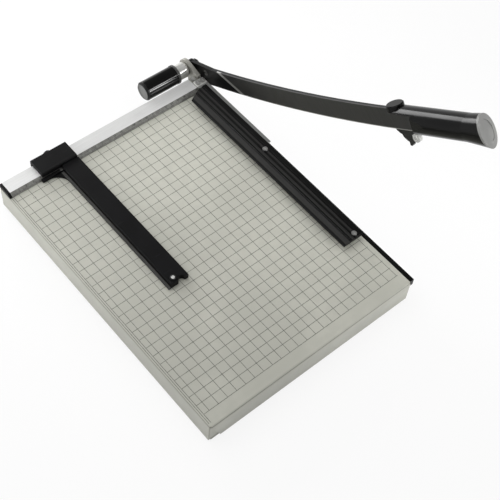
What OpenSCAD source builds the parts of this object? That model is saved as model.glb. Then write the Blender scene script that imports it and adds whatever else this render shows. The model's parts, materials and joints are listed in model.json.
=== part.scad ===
// Guillotine paper trimmer: folded steel table, curved swing blade, finger guard and sliding back gauge.
// Millimetres, +Z up. Modules are drawn from the table's front left top corner, then moved to the floor centre.

/* [Table] */
// Width of the folded table, left to right
table_w = 300; // [260:1:340]
// Depth of the folded table, front to rear
table_l = 405; // [370:1:450]
// Height of the folded side walls
table_h = 31; // [29:1:40]
// Thickness of the folded sheet
sheet_t = 1.5; // [1.2:0.1:2]
// Outside radius of the folds
fold_r = 2.5; // [2.2:0.1:4]
// Width of the inward flanges under the walls
flange_w = 22; // [21:1:30]
// How far the slanted wall ends run in at the bottom
corner_slant = 15; // [8:1:25]
// How far the front and rear walls run in at the bottom beside the blade
blade_corner_slant = 3; // [2.5:0.5:10]

/* [Feet] */
// Diameter of a rubber foot
foot_d = 18; // [14:1:19]
// Height that a foot lifts the table
foot_drop = 4; // [3:0.5:8]
// Distance of a foot's centre from the walls
foot_inset = 11.5; // [11:0.5:14]

/* [Rule] */
// Length of the rule
rule_len = 284; // [260:1:284]
// Width of the rule, front to rear
rule_w = 23; // [20:0.5:26]
// Thickness of the rule
rule_h = 5; // [4:0.5:6]
// Height of the plain front edge that paper stops on
rule_lip_h = 1.6; // [1:0.1:2.4]
// Width of the bevelled scale face
rule_bevel_w = 4.8; // [3:0.1:7]
// Length of the cap on the rule's left end
rule_cap_len = 3.4; // [2:0.1:4]

/* [Blades] */
// Thickness of the fixed lower blade
lower_t = 5; // [4:0.5:7]
// Height of the fixed lower blade
lower_h = 10; // [9:0.5:14]
// Side gap between the two blades
shear_gap = 0.2; // [0.1:0.05:0.4]
// Thickness of the moving upper blade
blade_t = 2.2; // [2:0.1:3]
// Height of the cutting bevel
blade_bevel_h = 5; // [3:0.5:7]
// Thickness left at the cutting edge
blade_edge_t = 0.3; // [0.2:0.1:0.6]

/* [Arm] */
// Height of the curved arm across its length
arm_h = 23; // [20:0.5:25]
// Thickness of the arm bar behind the blade
bar_t = 3.2; // [3:0.1:5]
// How far the arm bar stays above the cutting edge
bar_setback = 6.5; // [5.5:0.5:8]
// Radius of the arm's curved centre line
arm_r = 2465; // [2000:5:3200]
// Depth of the curve's lowest point under the pivot
arm_drop = 16.8; // [15.5:0.1:18]
// Radius of the eye round the pivot
eye_r = 8.5; // [8:0.1:9.5]
// Angle of the arm above the table as it stands
arm_rest = 32; // [20:1:45]
// Angle of the arm when it is shut
arm_shut = 1.5; // [1:0.1:2]

/* [Pivot] */
// Distance of the pivot behind the table
pivot_back = 17.4; // [16.8:0.1:20]
// Height of the pivot over the table
pivot_z = 5; // [4:0.1:6.5]
// Radius of the pivot shaft
shaft_r = 5; // [4:0.1:5.5]
// Running clearance on radius of turning fits
run_gap = 0.05; // [0.03:0.01:0.08]
// Outside radius of the spring housing
housing_r = 12.8; // [12:0.1:13]
// Length of the spring housing
housing_len = 46.5; // [46:0.5:60]
// Wall of the spring housing
housing_wall = 1.5; // [1:0.1:2]
// Thickness of the pivot ear
ear_t = 5; // [4:0.5:6]
// Length of the bright boss beside the ear
boss_len = 20; // [14:0.5:21]
// Radius of the spring wire
spring_wire_r = 1.1; // [0.8:0.1:1.2]
// Number of turns of the spring
spring_turns = 6; // [4:1:7]

/* [Guard] */
// Height of the paper gap under the guard carrier
paper_gap = 4.6; // [4.4:0.1:6]
// Thickness of the guard carrier strip
carrier_t = 2; // [1.5:0.1:3]
// Width of the finger guard
guard_w = 30.5; // [27:0.5:34]
// Length of the finger guard
guard_len = 297.5; // [270:0.5:300]
// Length of the carrier's narrow part
carrier_narrow_len = 176.5; // [150:0.5:200]
// Height of the guard's raised rim
guard_h = 5.4; // [4.6:0.1:7]
// Number of fine grooves along the guard
groove_count = 5; // [3:1:6]

/* [Back gauge] */
// Width of the gauge arm
gauge_w = 24.8; // [22:0.2:30]
// Height of the gauge arm's top
gauge_h = 8.5; // [8:0.1:10]
// Length of the gauge arm in front of the rule
gauge_len = 217.6; // [170:0.2:260]
// Width of the gauge head along the rule
head_w = 50.5; // [44:0.5:60]
// Height of the gauge head's top
head_h = 12; // [11.6:0.1:14]
// Position of the gauge head's left end as it stands
gauge_x = 47.5; // [30:0.5:80]

/* [Grip] */
// Radius of the round grip
grip_r = 14.3; // [13.8:0.1:15]
// Length of the grip in front of the table, along its axis
grip_reach = 100; // [95:1:115]
// Height of the thumb rest over the grip's axis
rest_h = 17; // [16:0.1:19]
// Radius of the thumb rest
rest_r = 9.7; // [9:0.1:11]
// Angle that the grip's end face turns up
end_up = 16; // [8:1:20]
// Angle that the grip's end face turns outward
end_out = 27; // [10:1:30]
// Thickness of the grip's end disc
cap_t = 2.4; // [2:0.1:3]

/* [Latch] */
// Thickness of the latch hook
hook_t = 4.5; // [4:0.1:5]
// Distance from the hook's pin to the stud
hook_reach = 20; // [19:0.5:21.5]
// Radius of the latch stud
stud_r = 2.5; // [2:0.1:3]
// Angle that the hook stands away from the stud
hook_swing = 20; // [18:1:26]

/* [Hidden] */
$fn = 96;
fine_fn = 1440;
cut_eps = 0.5;
fit_gap = 0.05;
slide_gap = 0.3;
seat_gap = 0.2;

// Fastener sizes
screw_r = 2;
screw_head_r = 3.4;
screw_head_h = 2;
small_screw_r = 1.5;
small_head_r = 2.8;
small_head_h = 1.5;
slot_w = 1;
slot_d = 0.8;

// Lines that follow from the table
wall_end = fold_r;
flap_gap = 0.3;
stand_h = table_h + foot_drop;
rule_margin = 12;
rule_screw_inset = 24;
rule_x = table_w - rule_margin - rule_len;
rule_y = table_l - rule_w;
rule_right = rule_x + rule_len;
lower_y = 2;
lower_back = rule_y + 14;
cut_x = table_w + lower_t;
blade_x = cut_x + shear_gap;
bar_x = blade_x + blade_t;
bar_out = bar_x + bar_t;

// The arm's curve, measured forward from the pivot (s) and up across the arm (t)
pivot_y = table_l + pivot_back;
arc_s = pivot_y / 2;
arc_t = arm_r - arm_drop;
function mid_t(s) = arc_t - sqrt(arm_r * arm_r - (s - arc_s) * (s - arc_s));
function arc_angle(s) = asin((s - arc_s) / arm_r);
root_s = 46;
blade_top_s = 60;
blade_low_s = 101;
blade_end_s = pivot_y + 1.6;
root_gap = 0.4;
root_run = 20;
hub_r = eye_r - 0.5;
tang_h = 16;

// The grip's straight axis leaves the curve at this point
grip_s = pivot_y - 38;
grip_tilt = arc_angle(grip_s);
grip_x = bar_x + bar_t / 2;
rest_z = 11;
grip_full = 38 + 4.6;
grip_end = 38 + grip_reach;
saddle_b = 10;
flank_inset = 0.4;
flank_end = 62;
heel_len = 23;
heel_flare = 0.08;
heel_z = grip_end - heel_len;
cap_plug_r = 8;
cap_plug_len = 5;
tang_end = heel_z - 6;
tang_start = grip_full - 6;
pin_r = 2;
pin_zs = [grip_full + 14, tang_end - 12];

// The pivot stack along X, from the arm inward
ear_out = cut_x - 3;
ear_in = ear_out - ear_t;
boss_in = ear_in - boss_len;
boss_spigot = 4;
boss_r = housing_r - housing_wall - fit_gap;
collar_r = housing_r + 0.5;
collar_len = 3.2;
housing_in = boss_in - housing_len;
housing_cap_len = 3.5;
bush_wall = 2;
bush_r = shaft_r + run_gap + bush_wall;
hub_in = ear_out + slide_gap;
ear_r = 13;
washer_t = 1.5;
shaft_nut_t = 8;
shaft_nut_r = 8.5;
spring_r = shaft_r + 0.5 + spring_wire_r;
shaft_tail = 4;
spring_right = boss_in - boss_spigot - seat_gap - washer_t;
spring_len = housing_len - boss_spigot - seat_gap - 2 * washer_t - shaft_nut_t - shaft_tail - 8;
spring_left = spring_right - spring_len;
shaft_left = spring_left - washer_t - shaft_nut_t - shaft_tail;
spring_pitch = (spring_len - 2 * spring_wire_r - 0.2) / spring_turns;
arm_nut_r = 6.5;
arm_nut_len = 5.5;
arm_washer_t = 1;
arm_washer_r = 8;

// The bracket
foot_x = rule_right + 0.6;
foot_out = cut_x - 0.5;
foot_y = rule_y + 4.8;
ear_y = table_l - 8;
ear_top = 11;
leg_w = 12;
leg_low = -(table_h - 4);
bracket_flange_x = ear_in - 35;
bracket_flange_t = 4;
bracket_flange_top = -8;
bracket_screw_xs = [bracket_flange_x + 8, bracket_flange_x + 26];
bracket_screw_z = (leg_low + bracket_flange_top) / 2;
foot_screw_at = [foot_x + 4.2, table_l - 3.8];
carrier_screw_y = rule_y + 9.5;
carrier_screw_xs = [foot_x + 4.2, foot_out - 4.2];

// The guard and its carrier
carrier_top = paper_gap + carrier_t;
guard_edge = 7.5;
guard_right = cut_x - guard_edge;
guard_left = guard_right - guard_w;
guard_back = rule_y - 2;
guard_front = guard_back - guard_len;
guard_slant = 9;
carrier_back = ear_y - 0.6;
carrier_step = guard_front + carrier_narrow_len;
carrier_narrow = [guard_right - 16, guard_right - 3];
carrier_front = guard_front + 2;
guard_screw_x = guard_right - 9.5;
guard_screw_ys = [guard_front + 6, carrier_step - 8];
guard_lip_w = 2.2;
guard_lip_h = 1.6;
guard_flat_w = 8;
guard_flat_h = 3;
guard_rim_w = 6;
groove_w = 1;
groove_d = 0.7;
groove_span = guard_w - guard_lip_w - guard_flat_w - guard_rim_w;

// The back gauge
gauge_float = 0.8;
gauge_front_y = rule_y - 0.4;
gauge_right = gauge_x + head_w + 1.2;
gauge_left = gauge_right - gauge_w;
gauge_flange_w = 3.4;
gauge_flange_h = 2.5;
gauge_end_y = gauge_front_y - gauge_len;
gauge_edge = 0.8;
wing_left = gauge_x - 2.5;
wing_w = 4;
wing_fillet = min(17, gauge_left - gauge_flange_w - wing_left - 2);
notch_r = 4.5;
notch_x = gauge_left + 15;
wing_h = rule_h;
head_front_y = rule_y + 0.4;
head_under = rule_h + slide_gap;
head_lip_t = 3.6;
head_lip_y = table_l + 0.4;
head_back = head_lip_y + head_lip_t;
head_edge = 1.2;
tongue_inset = 2.6;
tongue_back = rule_y + 18;
tongue_top = gauge_h;
gauge_screw_y = rule_y + 9;
gauge_screw_xs = [gauge_left + 7, gauge_right - 7];
end_screw_at = [gauge_left + 7.2, gauge_end_y + 6.5];
glide_len = 20;
clamp_x = gauge_x + 25.5;
clamp_z = 2.8;
clamp_r = 5;
clamp_len = 4;
clamp_flutes = 12;
pad_size = [8, 1.6, 3.6];
pad_y = table_l + 0.15;

// The latch, placed on the shut arm
hook_pin_s = pivot_y - 26.4;
hook_pin_t = mid_t(hook_pin_s) - 5;
hook_x = bar_out + 0.4;
hook_pin_r = 2.4;
hook_pin_head_r = 4;
hook_hub_r = 5.8;
hook_slot_gap = 0.4;
hook_skin = 1.6;
hook_eye = [9.3, 22.1];
hook_eye_r = 5;
hook_eye_hole = 2.7;
stud_t = hook_pin_t - hook_reach;
stud_y = pivot_y - hook_pin_s * cos(arm_shut) + stud_t * sin(arm_shut);
stud_z = pivot_z + hook_pin_s * sin(arm_shut) + stud_t * cos(arm_shut);
stud_end = hook_x + hook_t - hook_skin - 0.4;
stud_root_r = 2;
stud_rivet_r = 3.2;
stud_rivet_t = 1;

// Overall box, for the floor centre
end_slope_x = tan(end_out);
end_slope_y = tan(end_up) / cos(end_out);
end_s = grip_s + grip_end * cos(grip_tilt);
end_t = mid_t(grip_s) + grip_end * sin(grip_tilt);
grip_lean = arm_rest + grip_tilt;
rim_x = end_slope_x * cos(grip_lean);
rim_y = end_slope_y * cos(grip_lean) + sin(grip_lean);
rim = sqrt(rim_x * rim_x + rim_y * rim_y);
end_r = grip_r + heel_flare * heel_len;
front_r = end_r / (1 - heel_flare * (end_slope_x * rim_x + end_slope_y * rim_y) / rim);
box_right = grip_x + max(grip_r, end_r / (1 + heel_flare * end_slope_x));
box_back = pivot_y + max(ear_r, collar_r);
box_front = pivot_y - end_s * cos(arm_rest) + end_t * sin(arm_rest) - front_r * rim;
centre_x = box_right / 2;
centre_y = (box_front + box_back) / 2;

// Frames

module at_table() {
  translate([-centre_x, -centre_y, stand_h]) children();
}

module at_arm() {
  at_table() translate([0, pivot_y, pivot_z]) rotate([-arm_rest, 0, 0]) children();
}

// Grip frame: X across, Y up across the grip, Z forward along it
module at_grip() {
  at_arm() translate([grip_x, -grip_s, mid_t(grip_s)]) rotate([90 - grip_tilt, 0, 0]) children();
}

// Frame of the grip's slanted end face, with Z out of it
module at_end() {
  at_grip() translate([0, 0, grip_end]) rotate([-end_up, end_out, 0]) children();
}

// The round part of the grip, from one station to another past its flare
module grip_round(from) {
  past = 2 * heel_len;
  at_grip() rotate_extrude() polygon([[0, from], [grip_r, from], [grip_r, heel_z], [grip_r + heel_flare * past, heel_z + past],
    [0, heel_z + past]]);
}

module at_hook() {
  at_arm() translate([0, -hook_pin_s, hook_pin_t]) rotate([-hook_swing, 0, 0]) children();
}

// Draws a Y-Z outline from x0 over a width
module yz(x0, w) {
  translate([x0, 0, 0]) rotate([90, 0, 90]) linear_extrude(w) children();
}

// Draws an X-Z outline from y0 over a length
module xz(y0, len) {
  translate([0, y0 + len, 0]) rotate([90, 0, 0]) linear_extrude(len) children();
}

// Cylinder along X from x0
module rod_x(x0, len, r) {
  translate([x0, 0, 0]) rotate([0, 90, 0]) cylinder(h = len, r = r);
}

// Cylinder along Y from y0
module rod_y(y0, len, r) {
  translate([0, y0 + len, 0]) rotate([90, 0, 0]) cylinder(h = len, r = r);
}

// Screw along -Z, with its head's underside at z = 0
module screw(len, r = screw_r, head_r = screw_head_r, head_h = screw_head_h) {
  difference() {
    union() {
      cylinder(h = head_h, r = head_r);
      translate([0, 0, -len]) cylinder(h = len + cut_eps, r = r);
    }
    translate([-slot_w / 2, -head_r - cut_eps, head_h - slot_d])
      cube([slot_w, 2 * head_r + 2 * cut_eps, slot_d + cut_eps]);
  }
}

// Hole for a screw along -Z
module screw_hole(len, r = screw_r) {
  translate([0, 0, -len]) cylinder(h = len + cut_eps, r = r + fit_gap);
}

// Sheet profile of a folded channel: two walls, a top with round folds and two inward flanges
module channel(w) {
  difference() {
    folded(w, 0);
    difference() {
      folded(w, sheet_t);
      translate([-cut_eps, -table_h - cut_eps]) square([w + 2 * cut_eps, sheet_t + cut_eps]);
    }
    translate([flange_w, -table_h - cut_eps]) square([w - 2 * flange_w, sheet_t + 2 * cut_eps]);
  }
}

module folded(w, inset) {
  translate([inset, -table_h]) square([w - 2 * inset, table_h - fold_r]);
  translate([fold_r, -table_h]) square([w - 2 * fold_r, table_h - inset]);
  translate([fold_r, -fold_r]) circle(r = fold_r - inset);
  translate([w - fold_r, -fold_r]) circle(r = fold_r - inset);
}

// Slanted cut at the two ends of a front or rear wall
module wall_slants(y0) {
  xz(y0, sheet_t + 0.01) {
    polygon([[-1, -fold_r], [wall_end, -fold_r], [corner_slant, -table_h], [corner_slant, -table_h - 1], [-1, -table_h - 1]]);
    polygon([[table_w + 1, -fold_r], [table_w - wall_end, -fold_r], [table_w - blade_corner_slant, -table_h],
      [table_w - blade_corner_slant, -table_h - 1], [table_w + 1, -table_h - 1]]);
  }
}

// Flap of a side wall, tucked behind the front or rear wall
module corner_flap(x0, y0) {
  translate([x0, y0, -table_h + sheet_t + 1])
    cube([corner_slant + 3, sheet_t, table_h - sheet_t - 1 - fold_r - 0.5]);
}

function foot_points() = [
  [foot_inset, foot_inset], [table_w - foot_inset, foot_inset],
  [foot_inset, table_l - foot_inset], [table_w - foot_inset, table_l - foot_inset]];
rule_screw_first = max(rule_x, 0) + rule_screw_inset;
rule_screw_last = rule_right - rule_screw_inset;
function rule_screw_xs() = [rule_screw_first, (rule_screw_first + rule_screw_last) / 2, rule_screw_last];
function lower_screw_ys() = [for (i = [0 : 3]) lower_y + 48 + i * (lower_back - lower_y - 96) / 3];
rule_screw_y = table_l - 9;
lower_screw_z = -max(lower_h / 2, sheet_t + screw_head_r + slide_gap);

module base_tray() {
  flap_y = sheet_t + flap_gap;
  color([0.74, 0.74, 0.70]) at_table() difference() {
    union() {
      difference() {
        translate([wall_end, 0, 0]) yz(0, table_w - 2 * wall_end) channel(table_l);
        wall_slants(-0.005);
        wall_slants(table_l - sheet_t - 0.005);
      }
      xz(wall_end, table_l - 2 * wall_end) channel(table_w);
      for (x0 = [sheet_t / 2, table_w - sheet_t / 2 - corner_slant - 3]) {
        corner_flap(x0, flap_y);
        corner_flap(x0, table_l - flap_y - sheet_t);
      }
    }
    for (p = foot_points()) translate([p[0], p[1], -table_h + sheet_t]) screw_hole(sheet_t + cut_eps);
    for (x = rule_screw_xs()) translate([x, rule_screw_y, 0]) screw_hole(sheet_t + cut_eps);
    for (y = lower_screw_ys()) translate([0, y, lower_screw_z])
      rod_x(table_w - sheet_t - cut_eps, sheet_t + 2 * cut_eps, screw_r + fit_gap);
    for (x = bracket_screw_xs) translate([x, 0, bracket_screw_z])
      rod_y(table_l - 2 * sheet_t - 2 * cut_eps, 2 * sheet_t + 4 * cut_eps, screw_r + fit_gap);
    translate([foot_screw_at[0], foot_screw_at[1], 0]) screw_hole(table_h / 2);
    translate([carrier_screw_xs[0], carrier_screw_y, 0]) screw_hole(sheet_t + cut_eps);
    translate([0, stud_y, stud_z]) rod_x(table_w - sheet_t - cut_eps, sheet_t + 2 * cut_eps, stud_root_r + fit_gap);
  }
}

module rubber_feet() {
  edge = 1.2;
  color([0.06, 0.06, 0.06]) at_table() for (p = foot_points()) translate([p[0], p[1], -table_h]) difference() {
    union() {
      translate([0, 0, -foot_drop + edge]) cylinder(h = foot_drop - edge, r = foot_d / 2);
      translate([0, 0, -foot_drop]) cylinder(h = edge, r1 = foot_d / 2 - edge, r2 = foot_d / 2);
    }
    translate([0, 0, -foot_drop - cut_eps]) cylinder(h = foot_drop + 2 * cut_eps, r = screw_r + fit_gap);
    translate([0, 0, -foot_drop - cut_eps]) cylinder(h = screw_head_h + 0.4 + cut_eps, r = screw_head_r + fit_gap);
  }
}

module foot_screws() {
  seat = foot_drop - screw_head_h - 0.4;
  color([0.62, 0.62, 0.62]) at_table() for (p = foot_points())
    translate([p[0], p[1], -table_h - seat]) mirror([0, 0, 1]) screw(seat + sheet_t + 4);
}

module rear_rule() {
  color([0.82, 0.82, 0.82]) at_table() difference() {
    yz(rule_x, rule_len) polygon([[rule_y, 0], [rule_y, rule_lip_h], [rule_y + rule_bevel_w, rule_h],
      [table_l, rule_h], [table_l, 0]]);
    for (x = rule_screw_xs()) translate([x, rule_screw_y, -cut_eps]) cylinder(h = 3.5 + cut_eps, r = screw_r + fit_gap);
  }
}

module rule_end_cap() {
  color([0.05, 0.05, 0.05]) at_table()
    yz(rule_x - rule_cap_len, rule_cap_len) polygon([[rule_y, 0], [rule_y, rule_lip_h],
      [rule_y + rule_bevel_w, rule_h], [table_l, rule_h], [table_l, 0]]);
}

module rule_screws() {
  color([0.62, 0.62, 0.62]) at_table() for (x = rule_screw_xs())
    translate([x, rule_screw_y, -sheet_t]) mirror([0, 0, 1]) screw(sheet_t + 3.2);
}

module lower_blade() {
  color([0.07, 0.07, 0.07]) at_table() difference() {
    translate([table_w, lower_y, -lower_h]) cube([lower_t, lower_back - lower_y, lower_h]);
    for (y = lower_screw_ys()) translate([0, y, lower_screw_z])
      rod_x(table_w - cut_eps, lower_t - 1.6 + cut_eps, screw_r + fit_gap);
  }
}

module lower_blade_screws() {
  color([0.62, 0.62, 0.62]) at_table() for (y = lower_screw_ys())
    translate([table_w - sheet_t, y, lower_screw_z]) rotate([0, -90, 0]) screw(sheet_t + lower_t - 2);
}

// The bracket: a foot on the table, the pivot ear, and a flange down the rear wall
module pivot_bracket() {
  color([0.63, 0.63, 0.60]) at_table() difference() {
    union() {
      translate([foot_x, foot_y, 0]) cube([foot_out - foot_x, table_l - foot_y, paper_gap]);
      yz(ear_in, ear_t) {
        translate([pivot_y, pivot_z]) circle(r = ear_r);
        polygon([[ear_y, 0], [ear_y, ear_top], [pivot_y - 4, pivot_z + ear_r - 0.7], [pivot_y + 3, pivot_z],
          [table_l + leg_w, pivot_z - ear_r], [table_l + leg_w, leg_low], [table_l, leg_low], [table_l, 0]]);
      }
      translate([bracket_flange_x, table_l, leg_low])
        cube([ear_in - bracket_flange_x, bracket_flange_t, bracket_flange_top - leg_low]);
    }
    translate([0, pivot_y, pivot_z]) rod_x(ear_in - cut_eps, ear_t + 2 * cut_eps, bush_r + fit_gap);
    for (x = bracket_screw_xs) translate([x, 0, bracket_screw_z])
      rod_y(table_l - cut_eps, bracket_flange_t + 2 * cut_eps, screw_r + fit_gap);
    translate([foot_screw_at[0], foot_screw_at[1], paper_gap]) screw_hole(paper_gap + cut_eps);
    translate([carrier_screw_xs[0], carrier_screw_y, paper_gap]) screw_hole(paper_gap + cut_eps);
    translate([carrier_screw_xs[1], carrier_screw_y, paper_gap]) screw_hole(paper_gap - 0.6);
  }
}

module bracket_screws() {
  color([0.70, 0.70, 0.70]) at_table() {
    translate([foot_screw_at[0], foot_screw_at[1], paper_gap]) screw(paper_gap + sheet_t + 4);
    for (x = bracket_screw_xs) translate([x, table_l + bracket_flange_t, bracket_screw_z])
      rotate([-90, 0, 0]) screw(bracket_flange_t + 2 * sheet_t + 3);
  }
}

// Bright boss: spigot in the housing, body, domed shoulder at the ear
module pivot_boss() {
  body_r = boss_r - 0.6;
  dome_r = 4;
  color([0.86, 0.86, 0.86]) at_table() translate([0, pivot_y, pivot_z]) difference() {
    union() {
      rod_x(boss_in - boss_spigot, boss_spigot + collar_len, boss_r);
      translate([boss_in + collar_len, 0, 0]) rotate([0, 90, 0]) rotate_extrude()
        polygon(concat([[0, 0], [body_r, 0], [body_r, boss_len - collar_len - dome_r]],
          [for (a = [15 : 15 : 75]) [body_r - dome_r + dome_r * cos(a), boss_len - collar_len - dome_r + dome_r * sin(a)]],
          [[body_r - dome_r, boss_len - collar_len], [0, boss_len - collar_len]]));
    }
    rod_x(boss_in - boss_spigot - cut_eps, boss_spigot + boss_len + 2 * cut_eps, bush_r + fit_gap);
  }
}

module pivot_bush() {
  color([0.66, 0.50, 0.26]) at_table() translate([0, pivot_y, pivot_z]) difference() {
    rod_x(boss_in - boss_spigot, boss_spigot + boss_len + ear_t, bush_r);
    rod_x(boss_in - boss_spigot - cut_eps, boss_spigot + boss_len + ear_t + 2 * cut_eps, shaft_r + run_gap);
  }
}

module spring_housing() {
  color([0.05, 0.05, 0.05]) at_table() translate([0, pivot_y, pivot_z]) difference() {
    rod_x(housing_in, housing_len, housing_r);
    rod_x(housing_in - cut_eps, housing_len + 2 * cut_eps, housing_r - housing_wall);
  }
}

// Cap with a bevelled edge, a shallow face recess and a plug
module housing_end_cap() {
  bevel = 2;
  plug_r = housing_r - housing_wall - fit_gap;
  color([0.12, 0.12, 0.12]) at_table() translate([housing_in, pivot_y, pivot_z]) rotate([0, -90, 0]) difference() {
    union() {
      cylinder(h = housing_cap_len - bevel, r = housing_r);
      translate([0, 0, housing_cap_len - bevel]) cylinder(h = bevel, r1 = housing_r, r2 = housing_r - bevel);
      translate([0, 0, -4]) cylinder(h = 4 + cut_eps, r = plug_r);
    }
    translate([0, 0, housing_cap_len - 0.5]) cylinder(h = 0.5 + cut_eps, r = housing_r - bevel - 1.4);
  }
}

module housing_collar() {
  color([0.60, 0.60, 0.58]) at_table() translate([0, pivot_y, pivot_z]) difference() {
    rod_x(boss_in, collar_len, collar_r);
    rod_x(boss_in - cut_eps, collar_len + 2 * cut_eps, boss_r + fit_gap);
  }
}

module guard_carrier() {
  color([0.66, 0.66, 0.63]) at_table() difference() {
    translate([0, 0, paper_gap]) linear_extrude(carrier_t) polygon([
      [foot_x, carrier_back], [foot_out, carrier_back], [foot_out, carrier_step], [carrier_narrow[1], carrier_step],
      [carrier_narrow[1], carrier_front], [carrier_narrow[0], carrier_front], [carrier_narrow[0], guard_back],
      [foot_x, guard_back]]);
    for (x = carrier_screw_xs) translate([x, carrier_screw_y, carrier_top]) screw_hole(carrier_t + cut_eps);
    for (y = guard_screw_ys) translate([guard_screw_x, y, carrier_top]) screw_hole(carrier_t + cut_eps);
  }
}

module carrier_screws() {
  color([0.70, 0.70, 0.70]) at_table() {
    translate([carrier_screw_xs[0], carrier_screw_y, carrier_top]) screw(carrier_top + sheet_t + 3);
    translate([carrier_screw_xs[1], carrier_screw_y, carrier_top]) screw(carrier_top - 1);
  }
}

// Guard: lip, flat band, grooved band and raised rim, cut on a slant at the rear
module finger_guard() {
  flat_x = guard_left + guard_lip_w;
  groove_x = flat_x + guard_flat_w;
  rim_x = guard_right - guard_rim_w;
  band_h = guard_h - 1.2;
  color([0.07, 0.07, 0.07]) at_table() difference() {
    translate([0, 0, carrier_top]) xz(guard_front, guard_back - guard_front) polygon([
      [guard_left, 0], [guard_left, guard_lip_h], [flat_x, guard_flat_h - 0.6], [flat_x, guard_flat_h],
      [groove_x, guard_flat_h], [groove_x + 1, band_h], [rim_x - 0.6, band_h], [rim_x, guard_h],
      [guard_right - 0.8, guard_h], [guard_right, guard_h - 0.8], [guard_right, 0]]);
    for (i = [0 : groove_count - 1])
      translate([groove_x + 1.4 + (i + 0.5) * (groove_span - 2.4) / groove_count - groove_w / 2, guard_front - cut_eps,
        carrier_top + band_h - groove_d])
        cube([groove_w, guard_back - guard_front + 2 * cut_eps, groove_d + cut_eps]);
    translate([0, 0, carrier_top - cut_eps]) linear_extrude(guard_h + 2 * cut_eps)
      polygon([[guard_left - 1, guard_back + 1], [guard_left - 1, guard_back - guard_slant],
        [guard_left + guard_w * 0.7, guard_back + 1]]);
    for (y = guard_screw_ys) translate([guard_screw_x, y, carrier_top + band_h]) {
      screw_hole(band_h + cut_eps);
      translate([0, 0, -1.4]) cylinder(h = 1.4 + cut_eps, r = screw_head_r + 0.4);
    }
  }
}

module guard_screws() {
  seat = guard_h - 1.2 - 1.4;
  color([0.72, 0.72, 0.72]) at_table() for (y = guard_screw_ys)
    translate([guard_screw_x, y, carrier_top + seat]) screw(seat + carrier_t);
}

// Stud riveted through the table's right wall, under the lower blade
module latch_stud() {
  color([0.68, 0.68, 0.68]) at_table() translate([0, stud_y, stud_z]) {
    rod_x(table_w - sheet_t - stud_rivet_t, stud_rivet_t, stud_rivet_r);
    rod_x(table_w - sheet_t - cut_eps, sheet_t + 2 * cut_eps, stud_root_r);
    rod_x(table_w, stud_end - table_w, stud_r);
  }
}

// Outline of the arm's root: the eye and the taper into the curved bar
module root_outline() {
  low = mid_t(root_s) - arm_h / 2;
  high = mid_t(root_s) + arm_h / 2;
  inset = 0.7;
  circle(r = eye_r);
  polygon([[0, eye_r - inset], [-root_s - 2, high], [-root_s - 2, low], [-root_s + 8, low], [1, inset - eye_r]]);
}

// Curved strip between two arm stations; the outline is radius, x
module arm_arc(s1, s2, outline) {
  a1 = arc_angle(s1);
  a2 = arc_angle(s2);
  translate([0, -arc_s, arc_t]) rotate([0, 90, 0]) rotate([0, 0, -a2])
    rotate_extrude(angle = a2 - a1, $fn = fine_fn) polygon(outline);
}

// Region behind the slanted root end of the blade
module root_side(shift) {
  run = (blade_low_s - blade_top_s) / 24;
  polygon([[60, 60], [-(blade_top_s - shift - run * 60), 60], [-(blade_top_s - shift + run * 60), -60], [60, -60]]);
}

blade_screw_end = grip_s - 30;
function blade_screw_ss() = [for (i = [0 : 4]) blade_low_s + 22 + i * (blade_screw_end - blade_low_s - 22) / 4];
blade_screw_b = 3;
root_screw_at = [33.7, -5.5];
root_head_r = 4;
root_head_t = 1.6;

module arm_bar() {
  r1 = arm_r - arm_h / 2;
  r2 = arm_r + arm_h / 2;
  bar_mid = bar_x + bar_t / 2;
  color([0.06, 0.06, 0.06]) difference() {
    union() {
      at_arm() {
        yz(blade_x, bar_out - blade_x) root_outline();
        arm_arc(root_s, blade_end_s + 1, [[r1, bar_x], [r1, bar_out], [r2 - bar_setback, bar_out], [r2 - bar_setback, bar_x]]);
        intersection() {
          arm_arc(root_s, blade_low_s + 12, [[r1, blade_x], [r1, bar_mid], [r2, bar_mid], [r2, blade_x]]);
          yz(blade_x - cut_eps, bar_t + blade_t) root_side(root_gap);
        }
        rod_x(hub_in, bar_mid - hub_in, hub_r);
      }
      at_grip() translate([-bar_t / 2, -tang_h / 2, tang_start - 6]) cube([bar_t, tang_h, tang_end - tang_start + 6]);
    }
    at_arm() {
      rod_x(hub_in - cut_eps, bar_out - hub_in + 2 * cut_eps, shaft_r + fit_gap);
      for (s = blade_screw_ss()) translate([0, -s, mid_t(s) + blade_screw_b])
        rod_x(bar_x - cut_eps, bar_t + 2 * cut_eps, screw_r + fit_gap);
      translate([0, -root_screw_at[0], root_screw_at[1]]) {
        rod_x(blade_x - cut_eps, root_head_t + cut_eps, root_head_r + fit_gap);
        rod_x(blade_x - cut_eps, bar_out - blade_x - 0.8 + cut_eps, screw_r + fit_gap);
      }
      translate([0, -hook_pin_s, hook_pin_t]) rod_x(bar_x + 0.6, bar_t, hook_pin_r + fit_gap);
    }
    at_grip() for (z = pin_zs) translate([0, 0, z]) rod_x(-bar_t, 2 * bar_t, pin_r + fit_gap);
  }
}

// Curved blade: flat inner face, bevel ground on the outer side, slanted root end
module upper_blade() {
  r1 = arm_r - arm_h / 2;
  r2 = arm_r + arm_h / 2;
  color([0.24, 0.24, 0.25]) at_arm() difference() {
    arm_arc(blade_top_s - root_run, blade_end_s, [[r1, blade_x], [r1, bar_x], [r2 - blade_bevel_h, bar_x],
      [r2, blade_x + blade_edge_t], [r2, blade_x]]);
    yz(blade_x - cut_eps, blade_t + 2 * cut_eps) root_side(0);
    for (s = blade_screw_ss()) translate([0, -s, mid_t(s) + blade_screw_b])
      rod_x(blade_x + 0.8, blade_t, screw_r + fit_gap);
  }
}

module blade_screws() {
  color([0.62, 0.62, 0.62]) at_arm() for (s = blade_screw_ss())
    translate([bar_out, -s, mid_t(s) + blade_screw_b]) rotate([0, 90, 0]) screw(bar_t + blade_t - 1);
}

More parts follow.
